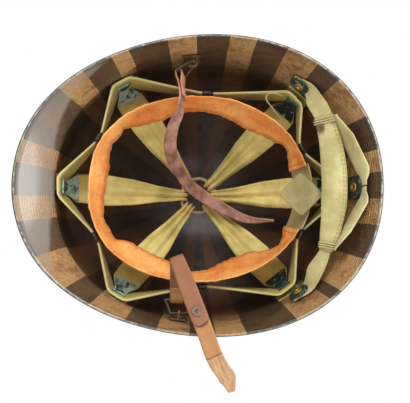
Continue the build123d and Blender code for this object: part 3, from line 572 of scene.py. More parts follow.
# Crown straps: six straps of herringbone webbing that hang under the washers' plates,
# gather in pleats and meet in the middle, where each is hemmed round the lace.
lace_centre = np.array([0.001, 0, 0.045])
lace_ring = 0.014
pleats, plate_slope = 3, np.radians(35)
plate_out, plate_drop, plate_long, plate_under = 0.0039, 0.005, 0.013, 0.0018
hem_deep, sag_deep, hem_thick = 0.003, 0.002, 0.0032
for number, (name, (origin, tangent, up, inward)) in enumerate(band_places.items()):
    dip = inward * np.cos(plate_slope) - up * np.sin(plate_slope)
    under = -inward * np.sin(plate_slope) - up * np.cos(plate_slope)
    bend = origin + inward * plate_out - up * plate_drop + under * plate_under
    first = bend + dip * (plate_long / 2)
    edge = bend + dip * plate_long
    towards = unit([edge[0] - lace_centre[0], edge[1] - lace_centre[1], 0])
    lace_side = lace_centre + towards * lace_ring
    hem = lace_side + towards * hem_deep
    sag = [hem + (edge - hem) * s - up * sag_deep * (1 - (2 * s - 1) ** 2) for s in (0.7, 0.45, 0.2)]
    points = [first, edge, *sag, hem + up * 0.0012, lace_side + up * hem_thick,
              lace_side - towards * 0.0034 + up * 0.0004, lace_side - up * 0.0030,
              hem - up * 0.0022 + towards * 0.002]
    widths = [0.0145, 0.0225, 0.0245, 0.0205, 0.0130, 0.0092, 0.008, 0.008, 0.008, 0.0082]
    sheet = ribbon(points, [tangent] * len(points), widths, 90, 41)
    s, across = spread(sheet)
    lift = unit(np.cross(np.gradient(sheet, axis=1), np.gradient(sheet, axis=0)))
    depth = 0.0019 * np.clip((s - 0.2) / 0.4, 0, 1) ** 1.2 + 0.0005 * np.sin(np.pi * np.clip(s * 1.4, 0, 1))
    waves = across * np.pi * (pleats - 0.4 * (number % 2)) * 0.75 + number * 1.3
    fold = depth * np.sin(waves) * (1 - 0.15 * across**2)
    made = strap(f"{name}_crown_web", sheet + lift * fold[..., None], crown_thick, [crown_web])
    fasten(made, "liner", f"{name}_crown_strap")


# The lace: a length of cord run through the six hems and tied, which sets the gap over
# the wearer's head. It pulls out of round between the straps.
def tube(name, line, radius, finishes, sides=10, closed=False):
    """A round cord along a line: a ring of points square to it at each of its points."""
    ahead = unit(np.roll(line, -1, 0) - np.roll(line, 1, 0) if closed else np.gradient(line, axis=0))
    out = unit(np.cross(ahead, [0.31, 0.17, 0.93]))
    other = np.cross(ahead, out)
    spin = np.linspace(0, 2 * np.pi, sides, endpoint=False)
    ring = out[:, None] * np.cos(spin)[:, None] + other[:, None] * np.sin(spin)[:, None]
    grid = line[:, None] + ring * radius
    length = lengths(line)
    width = np.broadcast_to(np.linspace(0, 2 * np.pi * radius, sides + 1), (len(line), sides + 1))
    if closed:
        grid = np.vstack([grid, grid[:1]])
        length = np.append(length, length[-1] + length[1])
        width = np.vstack([width, width[:1]])
    uv = np.stack([width, np.broadcast_to(length[:, None], width.shape)], -1)
    if not closed:
        return grid_mesh(name, grid, uv, finishes)
    made = grid_mesh(name, grid, uv, finishes, ends=False)
    weld = made.modifiers.new("weld", "WELD")
    weld.merge_threshold = 0.00001
    return made


turn = np.linspace(0, 2 * np.pi, 144, endpoint=False)
sway = 1 + 0.05 * np.cos(3 * turn + 0.5) + 0.03 * np.cos(5 * turn)
lace_line = lace_centre + np.stack([lace_ring * sway * np.cos(turn), lace_ring * sway * np.sin(turn),
                                    0.0006 * np.cos(6 * turn)], -1)
lace = tube("lace_loop", lace_line, 0.0013, [cord_finish], closed=True)
fasten(lace, "liner", "crown_lace")


# Sheet metal: the washers and clips are stamped steel, painted dark green. On the head
# band the paint has gone to pale verdigris, and on the nape it is only worn.
def sheet_metal(name, paint, worn, crust, cover):
    """Painted steel: patches of pale crust over worn paint, in noise of two scales."""
    made, shader, wire = finish(name)
    place = wire.place()
    patch = wire.noise(place, 170.0, 5.0, 0.7)
    grit = wire.noise(place, 650.0, 4.0, 0.7)
    crusty = (patch + (grit - 0.5) * 0.5).step(1 - cover - 0.05, 1 - cover + 0.08)
    tint = wire.mix(grit.step(0.5, 0.75), paint, worn)
    feed(shader, {"Base Color": wire.mix(crusty, tint, crust), "Roughness": 0.42 + crusty * 0.45,
                  "Metallic": 0.35 - crusty * 0.35, "Normal": bump(wire, grit + crusty, 0.6, 0.0003)})
    return made


def dress(names, material):
    """Gives CAD nodes that keep their own shape a finish."""
    for name in names:
        for one in nodes[name].material_slots:
            one.material = material


verdigris = sheet_metal("verdigris_washer", srgb(44, 60, 54), srgb(92, 112, 96), srgb(158, 184, 172), 0.58)
dark_green = sheet_metal("dark_green_washer", srgb(34, 52, 48), srgb(70, 88, 74), srgb(140, 162, 140), 0.40)
dress(["front_washer", "left_front_washer", "right_front_washer"], verdigris)
clip_steel = sheet_metal("brown_spring_steel", srgb(40, 34, 28), srgb(92, 80, 60), srgb(132, 128, 104), 0.30)
chin_steel = sheet_metal("brown_chin_clip", srgb(96, 72, 50), srgb(142, 110, 74), srgb(160, 140, 104), 0.30)
dress(["left_rear_washer", "right_rear_washer", "rear_washer"], dark_green)
dress(["left_chin_clip", "right_chin_clip"], chin_steel)


# Head band: webbing on edge round the bowl in six spans, doubled back flat on the wall
# under each washer and drawn in to a clip on the sweatband half way along each span.
def cornered(points, cut):
    """The points of a taut run with each inner corner cut off by a distance."""
    points = np.asarray(points, float)
    made = [points[0]]
    for before, here, after in zip(points, points[1:], points[2:]):
        for other, far in ((before, 2.2), (before, 1), (after, 1), (after, 2.2)):
            share = min(far * cut / np.linalg.norm(other - here), 0.48 * far / 2.2)
            made.append(here + (other - here) * share)
    return np.array(made + [points[-1]])


def sweat_top(turn):
    """The sweatband's upper edge, seen from above."""
    return egg(0.085, 0.088, 0.073, 0.004, 2.3, 2.0, turn)


span_names = ["left_rear_band", "left_side_band", "left_front_band", "right_front_band", "right_side_band",
              "right_rear_band"]
place_names = list(band_places)
pad_reach, pad_out, clip_half, clip_out = 0.0070, 0.0021, 0.0052, 0.0026
clip_places = []
spans = zip(span_names, place_names, place_names[1:] + place_names[:1])
for number, (name, first, second) in enumerate(spans):
    a, b = band_places[first], band_places[second]
    ends = ((a, -0.0004), (a, pad_reach), (b, -pad_reach), (b, 0.0004))
    pads = [origin - tangent * away + inward * pad_out for (origin, tangent, up, inward), away in ends]
    middle = (pads[1] + pads[2]) / 2
    bearing = np.degrees(np.arctan2(middle[1], middle[0]))
    seat = np.array([*at_bearing(sweat_top, bearing), 0])
    along_top = np.subtract(at_bearing(sweat_top, bearing + 1), at_bearing(sweat_top, bearing - 1))
    along_top = unit([*along_top, 0])
    outward = np.cross(along_top, [0, 0, 1])
    held = seat + outward * clip_out
    held[2] = band_mid
    clip_places.append((held, outward, along_top))
    grip = along_top * clip_half
    plan = cornered([pads[0], pads[1], held - grip, held + grip, pads[2], pads[3]], 0.0025)
    line = along(plan, 120)
    s = np.linspace(0, 1, 120)[:, None]
    t = np.linspace(-0.5, 0.5, 11)[None]
    side = unit(np.cross(np.gradient(line, axis=0), [0, 0, 1]))
    loose = np.sin(np.pi * s) ** 2
    to_clip = np.abs(line[:, :2] - held[:2]).sum(1)[:, None] / np.abs(pads[0][:2] - held[:2]).sum()
    lean = 0.0062 * np.clip(to_clip * 1.15 - 0.15, 0, 1) * (t - 0.1)
    outer = side * np.sign(np.sum(side * outward, axis=1, keepdims=True))
    sheet = line[:, None] + outer[:, None] * lean[..., None]
    sheet[..., 2] += t * band_height + 0.0004 * np.sin(s * 14 + number) * loose
    made = strap(f"{name}_web", sheet, band_thick, [band_web], flip=True)
    fasten(made, "liner", name)

# The spring clips, bent from thin steel strip over the band's top edge and pushed well down
clip_wide, clip_thick = 0.0085, 0.0005
clip_bend = [(-0.0016, -0.008), (-0.0016, -0.004), (-0.0016, 0.0), (-0.0011, 0.0008), (0, 0.0010),
             (0.0011, 0.0008), (0.0016, 0.0), (0.0016, -0.004), (0.0016, -0.008)]
for number, (held, outward, along_top) in enumerate(clip_places):
    top_edge = held + np.array([0, 0, band_height / 2])
    points = [top_edge + outward * x + np.array([0, 0, z]) for x, z in clip_bend]
    sheet = ribbon(points, [along_top] * len(points), [clip_wide] * len(points), 60, 5)
    made = strap(f"band_clip_{number}", sheet, clip_thick, [clip_steel])
    fasten(made, "liner", "sweatband_clips")

# The folded tails of the band's webbing, flat on the wall on each side of every rivet
tail_height, tail_thick = 0.019, 0.0009
for number, (name, (origin, tangent, up, inward)) in enumerate(band_places.items()):
    turn_at = band_turns[name]
    rows = np.linspace(-5.4, 5.0, 26) + 0.5 * np.sin(number * 2.3)
    t = np.linspace(-0.5, 0.5, 9)
    tail_z = band_mid + t * tail_height + 0.0012 * np.sin(number * 1.7)
    sheet = np.zeros((26, 9, 3))
    for column, z in enumerate(tail_z):
        x, y = at_bearing(lambda turn: wall(turn, z, shell_wall + 0.0006), turn_at + rows)
        sheet[:, column] = np.stack([x, y, np.full(26, z) + 0.0004 * np.sin(rows)], -1)
    made = strap(f"{name}_band_tail", sheet, tail_thick, [band_web], flip=True)
    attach(made, "liner")


# Sweatband: a strip of orange-tan leather, rolled at its upper edge and leaning inward,
# whose lower edge has curled and gone wavy. Its two ends are stitched to webbing.
hem_edge = [(12, 74.0), (23, 78.3), (28, 78.3), (34, 71.7), (43, 66.6), (52, 63), (64, 62.4),
            (78, 63.6), (91, 63.9), (103, 63.1), (115, 62.8), (125, 65.4), (134, 70.9),
            (140, 77.4), (145, 74.8), (151, 77.3), (156, 75.5), (165, 71.9), (175, 72),
            (189, 74.6), (197, 77.1), (202, 75.9), (206, 74.8), (210, 75.7), (217, 65.8),
            (229, 62), (245, 59.1), (262, 63.5), (275, 63.1), (291, 59), (303, 60.4), (311, 63.1),
            (318, 70.5), (325, 77.1), (331, 77.1), (340, 72.5)]
sweat_start, sweat_end = 12.0, 338.3
rows, cols = 420, 25
bearing = np.linspace(sweat_start, sweat_end, rows)
wrapped = (bearing + 180) % 360 - 180
edge_x, edge_y = at_bearing(sweat_top, wrapped)
hem_radius = np.interp(bearing, *np.array(hem_edge).T) / 1000
kernel = np.hanning(9) / np.hanning(9).sum()
hem_radius = np.convolve(np.pad(hem_radius, 4, "edge"), kernel, "valid")
hem_radius += 0.0005 * np.sin(bearing * 0.83) * np.sin(bearing * 0.31 + 1) + 0.00014 * np.sin(bearing * 4.1)
ray = np.stack([np.cos(np.radians(bearing)), np.sin(np.radians(bearing))], -1)
ripple = np.sin(bearing * 0.21) + 0.6 * np.sin(bearing * 0.47 + 1) + 0.4 * np.sin(bearing * 1.1)
upper = np.stack([edge_x, edge_y, 0.1262 + 0.0007 * ripple], -1)
upper[:, :2] -= ray * 0.0012
lower = np.column_stack([ray * hem_radius[:, None], 0.0945 + 0.0012 * ripple])
t = np.linspace(0, 1, cols)[None, :, None]
belly = np.sin(np.pi * t) * (0.0022 + 0.0012 * ripple[:, None, None])
sheet = upper[:, None] * (1 - t) + lower[:, None] * t
sheet[..., :2] += ray[:, None] * (belly * np.where(t < 0.6, 1, 1 - (t - 0.6)))
crease = 0.0004 * np.sin(bearing * 1.1)[:, None] * np.sin(bearing * 0.4 + 2)[:, None] * t[..., 0] ** 2
sheet[..., 2] += crease
sweat_length = np.sum(np.linalg.norm(np.diff(sheet[:, cols // 2], axis=0), axis=1))
tan_finish, shader, wire = finish("sweatband_leather")
cloth = wire.cloth()
place = wire.place()
u, v = cloth.part(0), cloth.part(1)
cloudy = wire.noise(place, 34.0, 5.0, 0.6)
pores = wire.noise(place, 900.0, 3.0, 0.7)
wrinkles = wire.noise(wire.node("ShaderNodeMapping", {}, {0: cloth, 3: (40.0, 160.0, 1.0)}), 4.0, 4.0, 0.6)
tint = wire.mix(cloudy.step(0.3, 0.7), srgb(232, 136, 64), srgb(255, 190, 110))
tint = wire.mix(wrinkles.step(0.52, 0.72) * 0.55, tint, srgb(196, 96, 42))
# Painted highlight: the rolled top edge painted paler, where the light falls on it
roll = 1 - u.step(0.0016, 0.0052)
tint = wire.mix(roll * 0.75, tint, srgb(255, 214, 160))
hem_dark = u.step(0.030, 0.036) * (1 - u.step(0.040, 0.042))
tint = wire.mix(hem_dark * 0.4, tint, srgb(160, 76, 38))
spots = wire.noise(place, 160.0, 2.0).step(0.70, 0.74)
tint = wire.mix(spots * 0.35, tint, srgb(130, 62, 36))
seams, seam_in = 2.0, 0.004
for knot in (seam_in, sweat_length - seam_in):
    seams = seams - v.off(knot).step(0.0002, 0.0007)
stitch = seams * u.wave(0.0034).step(-0.5, 0.0)
tint = wire.mix(stitch * 0.8, tint, srgb(120, 56, 30))
feed(shader, {"Base Color": tint, "Roughness": 0.5 + pores * 0.2,
              "Normal": bump(wire, wrinkles + pores * 0.3 - stitch, 0.35, 0.0008)})
sweatband = strap("sweatband_strip", sheet, 0.0018, [tan_finish])
fasten(sweatband, "liner", "sweatband")

# The webbing that joins the sweatband's ends at the nape, and the square end of the
# adjusting web that lies flat across it.
y_run = np.linspace(0.0200, -0.0315, 40)
sheet = np.zeros((40, 15, 3))
for column, t in enumerate(np.linspace(0, 1, 15)):
    drawn = 0.0124 * t - 0.0014 - 0.0026 * np.sin(np.pi * t)
    x = 0.004 + (0.084 - drawn) * np.sqrt(1 - (y_run / (0.073 - drawn * 0.6)) ** 2)
    sheet[:, column] = np.stack([x, y_run, 0.1243 - 0.033 * t + 0.0004 * np.sin(y_run * 260)], -1)
rear_web = strap("rear_webbing_strip", sheet, rear_thick, [tab_web], flip=True)
fasten(rear_web, "liner", "sweatband_rear_web")
across, onward = np.meshgrid(np.linspace(-1, 1, 31), np.linspace(-1, 1, 31))
round_off = 1 - 0.06 * (across * onward) ** 6
droop = -0.0016 * (across**2 + onward**2) + 0.0004 * np.sin(across * 7) * np.cos(onward * 5)
sheet = np.stack([0.0805 + 0.0088 * (across + onward) * round_off,
                  -0.0045 + 0.0088 * (across - onward) * round_off, 0.1292 + droop], -1)
tab = strap("rear_tab_square", sheet, 0.0015, [tab_web], flip=True)
fasten(tab, "liner", "sweatband_rear_tab")


# Rivets: brass, with a domed head outside the shell and a set eyelet end on the washer.
def turned(name, profile, places, material, sides=28):
    """Turned pieces: a profile of radius and height swept round each place's axis."""
    profile = np.asarray(profile, float)
    spin = np.linspace(0, 2 * np.pi, sides, endpoint=False)
    points, faces = [], []
    for place, axis in places:
        axis = unit(axis)
        out = unit(np.cross(axis, [0.3, 0.5, 0.81]))
        ring = out * np.cos(spin)[:, None] + np.cross(axis, out) * np.sin(spin)[:, None]
        base = len(points) * len(profile) * sides
        points.append(np.asarray(place) + profile[:, :1, None] * ring + profile[:, 1:, None] * axis)
        index = base + np.arange(len(profile) * sides).reshape(len(profile), sides)
        index = np.hstack([index, index[:, :1]])
        faces += corners(index).reshape(-1, 4).tolist()
        faces += [index[0, :-1][::-1].tolist(), index[-1, :-1].tolist()]
    mesh = bpy.data.meshes.new(name)
    mesh.from_pydata(np.concatenate(points).reshape(-1, 3).tolist(), [], faces)
    mesh.materials.append(material)
    mesh.polygons.foreach_set("use_smooth", [len(face) == 4 for face in faces])
    mesh.update()
    return linked(name, mesh)


brass, shader, wire = finish("old_brass")
place = wire.place()
dull = wire.noise(place, 380.0, 4.0, 0.7)
feed(shader, {"Base Color": wire.mix(dull, srgb(104, 82, 40), srgb(196, 160, 88)),
              "Roughness": 0.35 + dull * 0.35,
              "Metallic": 0.9 - dull.step(0.6, 0.8) * 0.6, "Normal": bump(wire, dull, 0.4, 0.0002)})
head = [(0.0042, -0.0002), (0.0042, 0.0003), (0.0038, 0.0009), (0.0028, 0.0014), (0.0015, 0.0017),
        (0.0003, 0.0018)]
eyelet = [(0.0034, 0), (0.0036, 0.0004), (0.0032, 0.0009), (0.0024, 0.0011), (0.0017, 0.0008),
          (0.0014, 0.0001), (0.0003, 0.0)]
metal_by_name = {"suspension_rivets": dark_green}
groups = (("suspension_rivets", band_places, {n: (t, band_mid) for n, t in band_turns.items()}, 0.0045, 1.15),
          ("nape_rivets", nape_places, nape_turns, 0.0047, 1.1),
          ("chin_rivets", chin_places, {n: (t, chin_height) for n, t in chin_turns.items()}, 0.0021, 0.88))
for name, places, spots, seat, scale in groups:
    outside = []
    for turn_at, height in spots.values():
        origin, tangent, up, inward = wall_plane(turn_at, height, inset=0.0)
        outside.append((origin - inward * 0.0001, -inward))
    inside = [(origin + inward * seat, inward) for origin, tangent, up, inward in places.values()]
    heads = turned(f"{name}_heads", head, outside, brass)
    ends = turned(f"{name}_ends", np.array(eyelet) * scale, inside, metal_by_name.get(name, brass))
    for made in (heads, ends):
        fasten(made, "liner", name)


# Nape strap: a lens of webbing across the nape, bound at each end to a side strap and to
# one arm of a V of webbing on edge, all of them cotton with stitched edges.
nape_steps = np.array([1.07, 0.7, 0.25, -0.25, -0.75, -1])
nape_points = np.stack([0.105 - 0.007 * nape_steps**2, 0.001 + 0.050 * nape_steps, np.full(6, 0.147)], -1)
nape_widths = 0.020 * np.array([0.72, 0.86, 1.0, 1.0, 0.78, 0.5])
runs = np.gradient(nape_points, axis=0)
nape_tilt, arm_height = np.radians(15), 0.1492
tilted = unit(np.cross(runs, [0, 0, 1])) * np.cos(nape_tilt) - np.array([0, 0, np.sin(nape_tilt)])
sheet = ribbon(nape_points, tilted, nape_widths, 110, 21)
s, t = spread(sheet)
sheet[..., 2] += 0.0022 * (1 - t**2) + 0.0006 * np.sin(s * 17) * t - 0.0012
lens_web = webbing("nape_lens_webbing", srgb(186, 172, 112), srgb(226, 214, 158), 0.0010,
                   stitches=(0.0012, 0.0030, 0.0185))
nape_band = strap("nape_lens", sheet, 0.0016, [lens_web])
fasten(nape_band, "liner", "nape_band")

nape_ends = (("left", nape_points[0], nape_points[1], tilted[0]),
             ("right", nape_points[-1], nape_points[-2], tilted[-1]))
for (name, end, onward, across), width in zip(nape_ends, (0.0145, 0.0098)):
    origin, tangent, up, inward = nape_places[name]
    start = origin + inward * 0.0024
    meet = end + unit(start - end) * 0.0025
    flat = unit((meet - start) - inward * np.dot(meet - start, inward))
    lay = np.cross(inward, flat)
    across = across * np.sign(np.dot(across, lay))
    leave = start + flat * 0.006 + inward * 0.0006
    turn_in = leave + (meet - leave) * 0.5
    tuck = end + unit(onward - end) * 0.0075 + np.array([0, 0, -0.0014])
    points = [start - flat * 0.0055, start, leave, turn_in, meet + np.array([0, 0, -0.0006]), tuck]
    sheet = ribbon(points, [lay, lay, lay + across * 0.25, lay * 0.6 + across, across, across],
                   [0.0155, 0.016, 0.0162, 0.0150, width * 0.95, width * 0.8], 80, 17)
    s, t = spread(sheet)
    lift = 0.0004 * np.sin(np.pi * t * 1.5 + 0.6) * np.clip(s - 0.25, 0, 1) * 1.4
    sheet += inward * lift[..., None]
    made = strap(f"nape_{name}_side_web", sheet, side_thick, [nape_web])
    fasten(made, "liner", f"nape_{name}_strap")

for name, tie, half, side in (("left", nape_points[0], 0.0075, 1), ("right", nape_points[-1], 0.005, -1)):
    near = np.array([tie[0] + half + 0.0014, tie[1] - side * 0.0015, arm_height])
    corner = np.array([0.1264, side * 0.0100, arm_height])
    pad = np.array([0.1266, side * 0.0006, arm_height])
    first = near + (near - corner) * 0.03
    line = along(cornered([first, near, corner, pad], 0.003), 80)
    s, t = np.linspace(0, 1, 80)[:, None], np.linspace(-0.5, 0.5, 9)[None]
    out = unit(np.cross(np.gradient(line, axis=0), [0, 0, 1]))
    out *= np.sign(out[:, :1])
    lean = (0.0085 if side > 0 else 0.0062) * np.clip(s * 3, 0.12, 1) * np.clip((1 - s) * 5, 0.3, 1)
    sheet = line[:, None] + out[:, None] * (lean * (t + 0.12))[..., None]
    sheet = sheet + np.array([0, 0, 1.0]) * (t * (0.0175 - 0.004 * np.clip(1 - s * 6, 0, 1)))[..., None]
    made = strap(f"nape_rear_{name}_web", sheet, arm_thick, [nape_web], flip=True)
    fasten(made, "liner", f"nape_rear_{name}_strap")

# The ties: two turns of tying cord round each end of the nape band, with a short tail
for (name, start, onward, across), width in zip(nape_ends, (0.0145, 0.0100)):
    ahead = unit(onward - start)
    flat = unit(across - ahead * np.dot(across, ahead))
    up = np.cross(ahead, flat)
    up *= np.sign(up[2])
    wind = np.linspace(0, 1, 150)
    spin = wind * 2 * np.pi * 2.6 + 0.6
    half, deep = width / 2 + 0.0014, 0.0027
    side, rise = [np.copysign(np.abs(wave) ** 0.7, wave)[:, None] for wave in (np.cos(spin), np.sin(spin))]
    line = start + ahead * (0.0018 + 0.0046 * wind)[:, None] + flat * half * side
    line += up * (deep * rise + 0.0004)
    tail_side = -flat if name == "left" else flat
    end = line[-1]
    tail = along([end, end + tail_side * 0.003 + up * 0.001 + ahead * 0.001,
                  end + tail_side * 0.0065 + ahead * 0.0035 - up * 0.001], 20)[1:]
    made = tube(f"nape_{name}_tie_cord", along(np.vstack([line, tail]), 200), 0.00065, [cord_finish], 8)
    fasten(made, "liner", f"nape_{name}_tie")

# Round dished washers of the same painted steel hold the nape's straps under their rivets
washer_shape = [(0.0026, 0.0002), (0.0044, 0.0007), (0.0078, 0.0006), (0.0086, 0.0003),
                (0.0089, -0.0002), (0.0085, -0.0005), (0.0026, -0.0004)]
for name, (origin, tangent, up, inward) in nape_places.items():
    seat = [(origin + inward * 0.0042, inward)]
    made = turned(f"nape_{name}_washer_plate", washer_shape, seat, dark_green, 40)
    fasten(made, "liner", f"nape_{name}_washer")

# A steel stud pressed through the nape band below the left tie, rusted brown
rust, shader, wire = finish("rusty_steel")
place = wire.place()
flake = wire.noise(place, 700.0, 5.0, 0.75)
feed(shader, {"Base Color": wire.mix(flake, srgb(66, 40, 28), srgb(140, 110, 84)),
              "Roughness": 0.6 + flake * 0.3,
              "Metallic": 0.4 - flake * 0.3, "Normal": bump(wire, flake, 0.7, 0.0003)})
stud_at = nape_points[0] + (nape_points[1] - nape_points[0]) * 0.52 - np.array([0.0048, 0, 0])
stud_up = np.cross(nape_points[1] - nape_points[0], tilted[0])
stud_up = unit(stud_up) * np.sign(stud_up[2])
stud_shape = [(0.0031, 0), (0.0032, 0.0005), (0.0028, 0.0012), (0.0020, 0.0014), (0.0013, 0.0011),
              (0.0009, 0.0005), (0.0002, 0.0004)]
stud = turned("nape_stud_dish", stud_shape, [(stud_at + stud_up * 0.0019, stud_up)], rust)
fasten(stud, "liner", "nape_stud")


# Bails: loops of drawn wire that hang from the clips and carry the chin straps.
wire_finish, shader, wire = finish("bail_wire")
place = wire.place()
tarnish = wire.noise(place, 420.0, 4.0, 0.7)
feed(shader, {"Base Color": wire.mix(tarnish, srgb(46, 42, 34), srgb(104, 98, 80)),
              "Roughness": 0.4 + tarnish * 0.35,
              "Metallic": 0.85 - tarnish.step(0.55, 0.8) * 0.5, "Normal": bump(wire, tarnish, 0.3, 0.0002)})
dress(["left_bail", "right_bail"], wire_finish)


# Chin straps: two strips of narrow leather, each looped round its bail. The grain side
# is brown gone mauve, the flesh side and the cut edges are orange-tan and fibrous.
def hide(name, dark, pale, edge, half_width=0.0065, crease=None):
    """Dry strap leather: grain cells, long cracks, rubbed edges and, past a crease, a greyer end."""
    made, shader, wire = finish(name)
    cloth = wire.cloth()
    place = wire.place()
    u, v = cloth.part(0), cloth.part(1)
    cloudy = wire.noise(place, 90.0, 5.0, 0.65)
    grain = wire.noise(place, 1100.0, 3.0, 0.7)
    cracks = wire.noise(wire.node("ShaderNodeMapping", {}, {0: cloth, 3: (900.0, 60.0, 1.0)}), 1.0, 4.0, 0.7)
    from_middle = u.off(half_width)
    rubbed = (from_middle + (grain - 0.5) * 0.002).step(half_width - 0.0014, half_width - 0.0002)
    tint = wire.mix(cloudy.step(0.3, 0.72), dark, pale)
    tint = wire.mix(cracks.step(0.58, 0.75) * 0.45, tint, tuple(0.4 * c for c in dark[:3]) + (1,))
    tint = wire.mix(rubbed * 0.75, tint, edge)
    if crease is not None:
        past = (v + (cloudy - 0.5) * 0.004 - crease).step(-0.0004, 0.0004)
        grey = wire.mix(cracks.step(0.4, 0.6), srgb(150, 112, 82), srgb(222, 188, 146))
        tint = wire.mix(past * 0.45, tint, grey)
        fold = 1 - v.off(crease).step(0.0003, 0.0011)
        tint = wire.mix(fold * 0.7, tint, srgb(104, 66, 44))
    feed(shader, {"Base Color": tint, "Roughness": 0.48 + grain * 0.25,
                  "Normal": bump(wire, grain * 0.5 + cracks, 0.4, 0.0005)})
    return made


grain_side = hide("strap_grain", srgb(118, 80, 68), srgb(190, 144, 126), srgb(204, 144, 104))
# Painted shade: the flap's grain is a darker copy of the strap's leather, to take down the strong light on it
flap_shaded_grain = hide("flap_grain_painted_shade", srgb(58, 38, 36), srgb(108, 76, 70), srgb(160, 104, 66))
loop_side = hide("strap_loop", srgb(80, 52, 36), srgb(130, 90, 58), srgb(170, 116, 72))
flesh_side = hide("strap_flesh", srgb(158, 98, 52), srgb(200, 136, 76), srgb(176, 124, 78), crease=0.0495)
nip, loop_out, strap_thick, flap_thick, tail_leather = 0.00105, 0.0021, 0.0017, 0.0018, 0.0016
pin_up, pin_out = 0.0079, 0.0080
bend = [(loop_out * np.cos(a), loop_out * np.sin(a)) for a in np.radians(np.arange(90, 271, 30))]


def staple_pin(name):
    """Middle of a clip's staple, where its bail hangs."""
    origin, tangent, up, inward = chin_places[name]
    return origin + up * pin_up + inward * pin_out, inward


left_pin, left_in = staple_pin("left")
left_bar = unit([-0.22, 0.39, 0.894])
left_reach = np.array([-0.715, -0.685, 0.122])
left_reach = unit(left_reach - left_bar * np.dot(left_reach, left_bar))
left_hold = left_pin - left_in * 0.0024 + left_reach * 0.0135
left_run = np.array([0.115, -0.899, 0.418])
left_run = unit(left_run - left_bar * np.dot(left_run, left_bar))
left_side = np.cross(left_bar, left_run)
loop = [(0.021, nip), (0.015, nip), (0.009, nip), *bend, (0.009, -nip), (0.020, -nip)]
points = [left_hold + left_run * x + left_side * y for x, y in loop]
route_shares = [(-0.159, 0.819, 1.056), (-0.219, 0.663, 0.984), (-0.248, 0.501, 0.881),
                (-0.224, 0.348, 0.762), (-0.164, 0.233, 0.651), (-0.038, 0.06, 0.54),
                (0.086, -0.042, 0.5), (0.258, -0.162, 0.487), (0.466, -0.275, 0.511),
                (0.729, -0.301, 0.563)]
route = [np.array([x * 0.085, y * 0.073, z * 0.126]) for x, y, z in route_shares]
points = points + route
turn_shares = [0] * (len(loop) - 1) + [0, 0.03, 0.18, 0.42, 0.6, 0.78, 0.95, 1, 1, 1, 1]
runs = np.gradient(np.array(points), axis=0)
level = unit(np.cross(runs, [0, 0, 1]))
shares = np.array(turn_shares)[:, None]
across = left_bar * (1 - shares) + level * shares
widths = [0.0105, 0.012] + [0.0122] * (len(loop) - 2)
widths += [0.0112, 0.0106, 0.0100, 0.0098, 0.0100, 0.0100, 0.0098, 0.0090, 0.0066, 0.0014]
sheet = ribbon(points, across, widths, 300, 13)
s, t = spread(sheet)
curl = 0.0008 * np.sin(s * 31) * t + 0.0012 * np.clip(s - 0.45, 0, 1) * (t**2 - 0.5)
sheet[..., 2] += curl * np.clip((s - 0.4) * 6, 0, 1)
left_strap = strap("left_strap_leather", sheet, strap_thick, [grain_side])
fasten(left_strap, "left_strap", "left_chinstrap")

right_pin, right_in = staple_pin("right")
right_hold = right_pin - right_in * 0.0021 + unit([0, 0.995, -0.09]) * 0.0105 - np.array([0.0015, 0, 0])
fold_centre = np.array([right_hold[0], -0.0545, 0.13952])
plan = unit([0.36, -0.93, 0])
rise = np.radians(26)
flap_run = plan * np.cos(rise) + np.array([0, 0, np.sin(rise)])
fold_axis = np.array([-plan[1], plan[0], 0])
flap_up = np.cross(flap_run, fold_axis)
under = fold_centre - np.array([0, 0, nip]) - right_hold
under[0] = 0
length = np.linalg.norm(under)
under_run = under / length
under_side = np.cross([1.0, 0, 0], under_run)
loop = [(0.0105, nip), (0.0095, nip), (0.006, nip), *bend, (0.006, -nip), (0.018, -nip),
        (length - 0.0032, -nip)]
points = [right_hold + under_run * x + under_side * y for x, y in loop]
sheet = ribbon(points, [(1, 0, 0)] * len(points), [0.0106] * len(points), 120, 11)
right_loop = strap("right_loop_leather", sheet, strap_thick, [loop_side])
fasten(right_loop, "right_loop", "right_strap_loop")

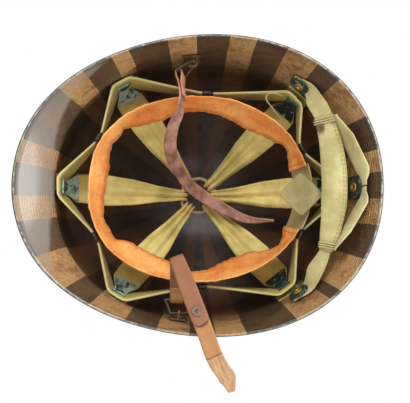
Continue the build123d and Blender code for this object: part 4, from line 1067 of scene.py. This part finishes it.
knuckle = [(nip * np.cos(a), nip * np.sin(a)) for a in np.radians(np.arange(285, 89, -30))]
flap_path = knuckle + [(0.006, 0.00125), (0.018, 0.00135), (0.032, 0.0011), (0.046, 0.0011), (0.0552, 0.0011),
                       (0.0585, 0.0011), (0.0605, 0.0011), (0.0617, 0.0011)]
points = [fold_centre + flap_run * x + flap_up * y for x, y in flap_path]
widths = [0.0112] * len(knuckle) + [0.0118, 0.0128, 0.0134, 0.0135, 0.0133, 0.0118, 0.0088, 0.0045]
sheet = ribbon(points, [fold_axis] * len(points), widths, 200, 15)
s, t = spread(sheet)
sheet += flap_up * (0.0005 * t**2 * np.sin(np.pi * s))[..., None]
right_flap = strap("right_flap_leather", sheet, flap_thick, [flap_shaded_grain])
fasten(right_flap, "right_flap", "right_strap_flap")

tail = [fold_centre + flap_run * x - flap_up * nip for x in (0.037, 0.055, 0.072)]
tail += [np.array([fold_centre[0] + 0.062 * x, -0.1145 - 0.062 * y, 0.165 + 0.062 * z]) for x, y, z in
         ((0.439, 0.185, 0.12), (0.506, 0.323, 0.04), (0.62, 0.499, -0.08), (0.675, 0.657, -0.173))]
sheet = ribbon(tail, [fold_axis] * 7, [0.0125, 0.0128, 0.0128, 0.0128, 0.013, 0.0124, 0.0035], 160, 15)
s, t = spread(sheet)
sheet += fold_axis * (0.0016 * np.clip((s - 0.78) * 5, 0, 1) * (np.sin(t * 9) * 0.25 + t * 0.4))[..., None]
sheet[..., 2] += 0.0007 * np.sin(s * 23) * t * np.clip((s - 0.45) * 4, 0, 1)
sheet[..., 2] += 0.0005 * t**2 * np.clip(s * 2, 0, 1)
right_tail = strap("right_tail_leather", sheet, tail_leather, [flesh_side])
fasten(right_tail, "right_tail", "right_strap_tail")

snap_at = fold_centre + flap_run * 0.0495 + flap_up * 0.0019
snap_shape = [(0.0044, 0), (0.0046, 0.0004), (0.0043, 0.0010), (0.0036, 0.0013), (0.0029, 0.0010),
              (0.0021, 0.0009), (0.0016, 0.0012), (0.0009, 0.0014), (0.0002, 0.0014)]
cap_finish = sheet_metal("worn_snap_cap", srgb(112, 88, 72), srgb(164, 140, 116), srgb(150, 118, 98), 0.35)
socket_shape = [(0.0013, 0.0009), (0.0013, 0.0015), (0.0002, 0.0015)]
for made in (turned("snap_cap", snap_shape, [(snap_at, flap_up)], cap_finish),
             turned("snap_socket", socket_shape, [(snap_at, flap_up)], rust)):
    fasten(made, "right_flap", "right_strap_snap")
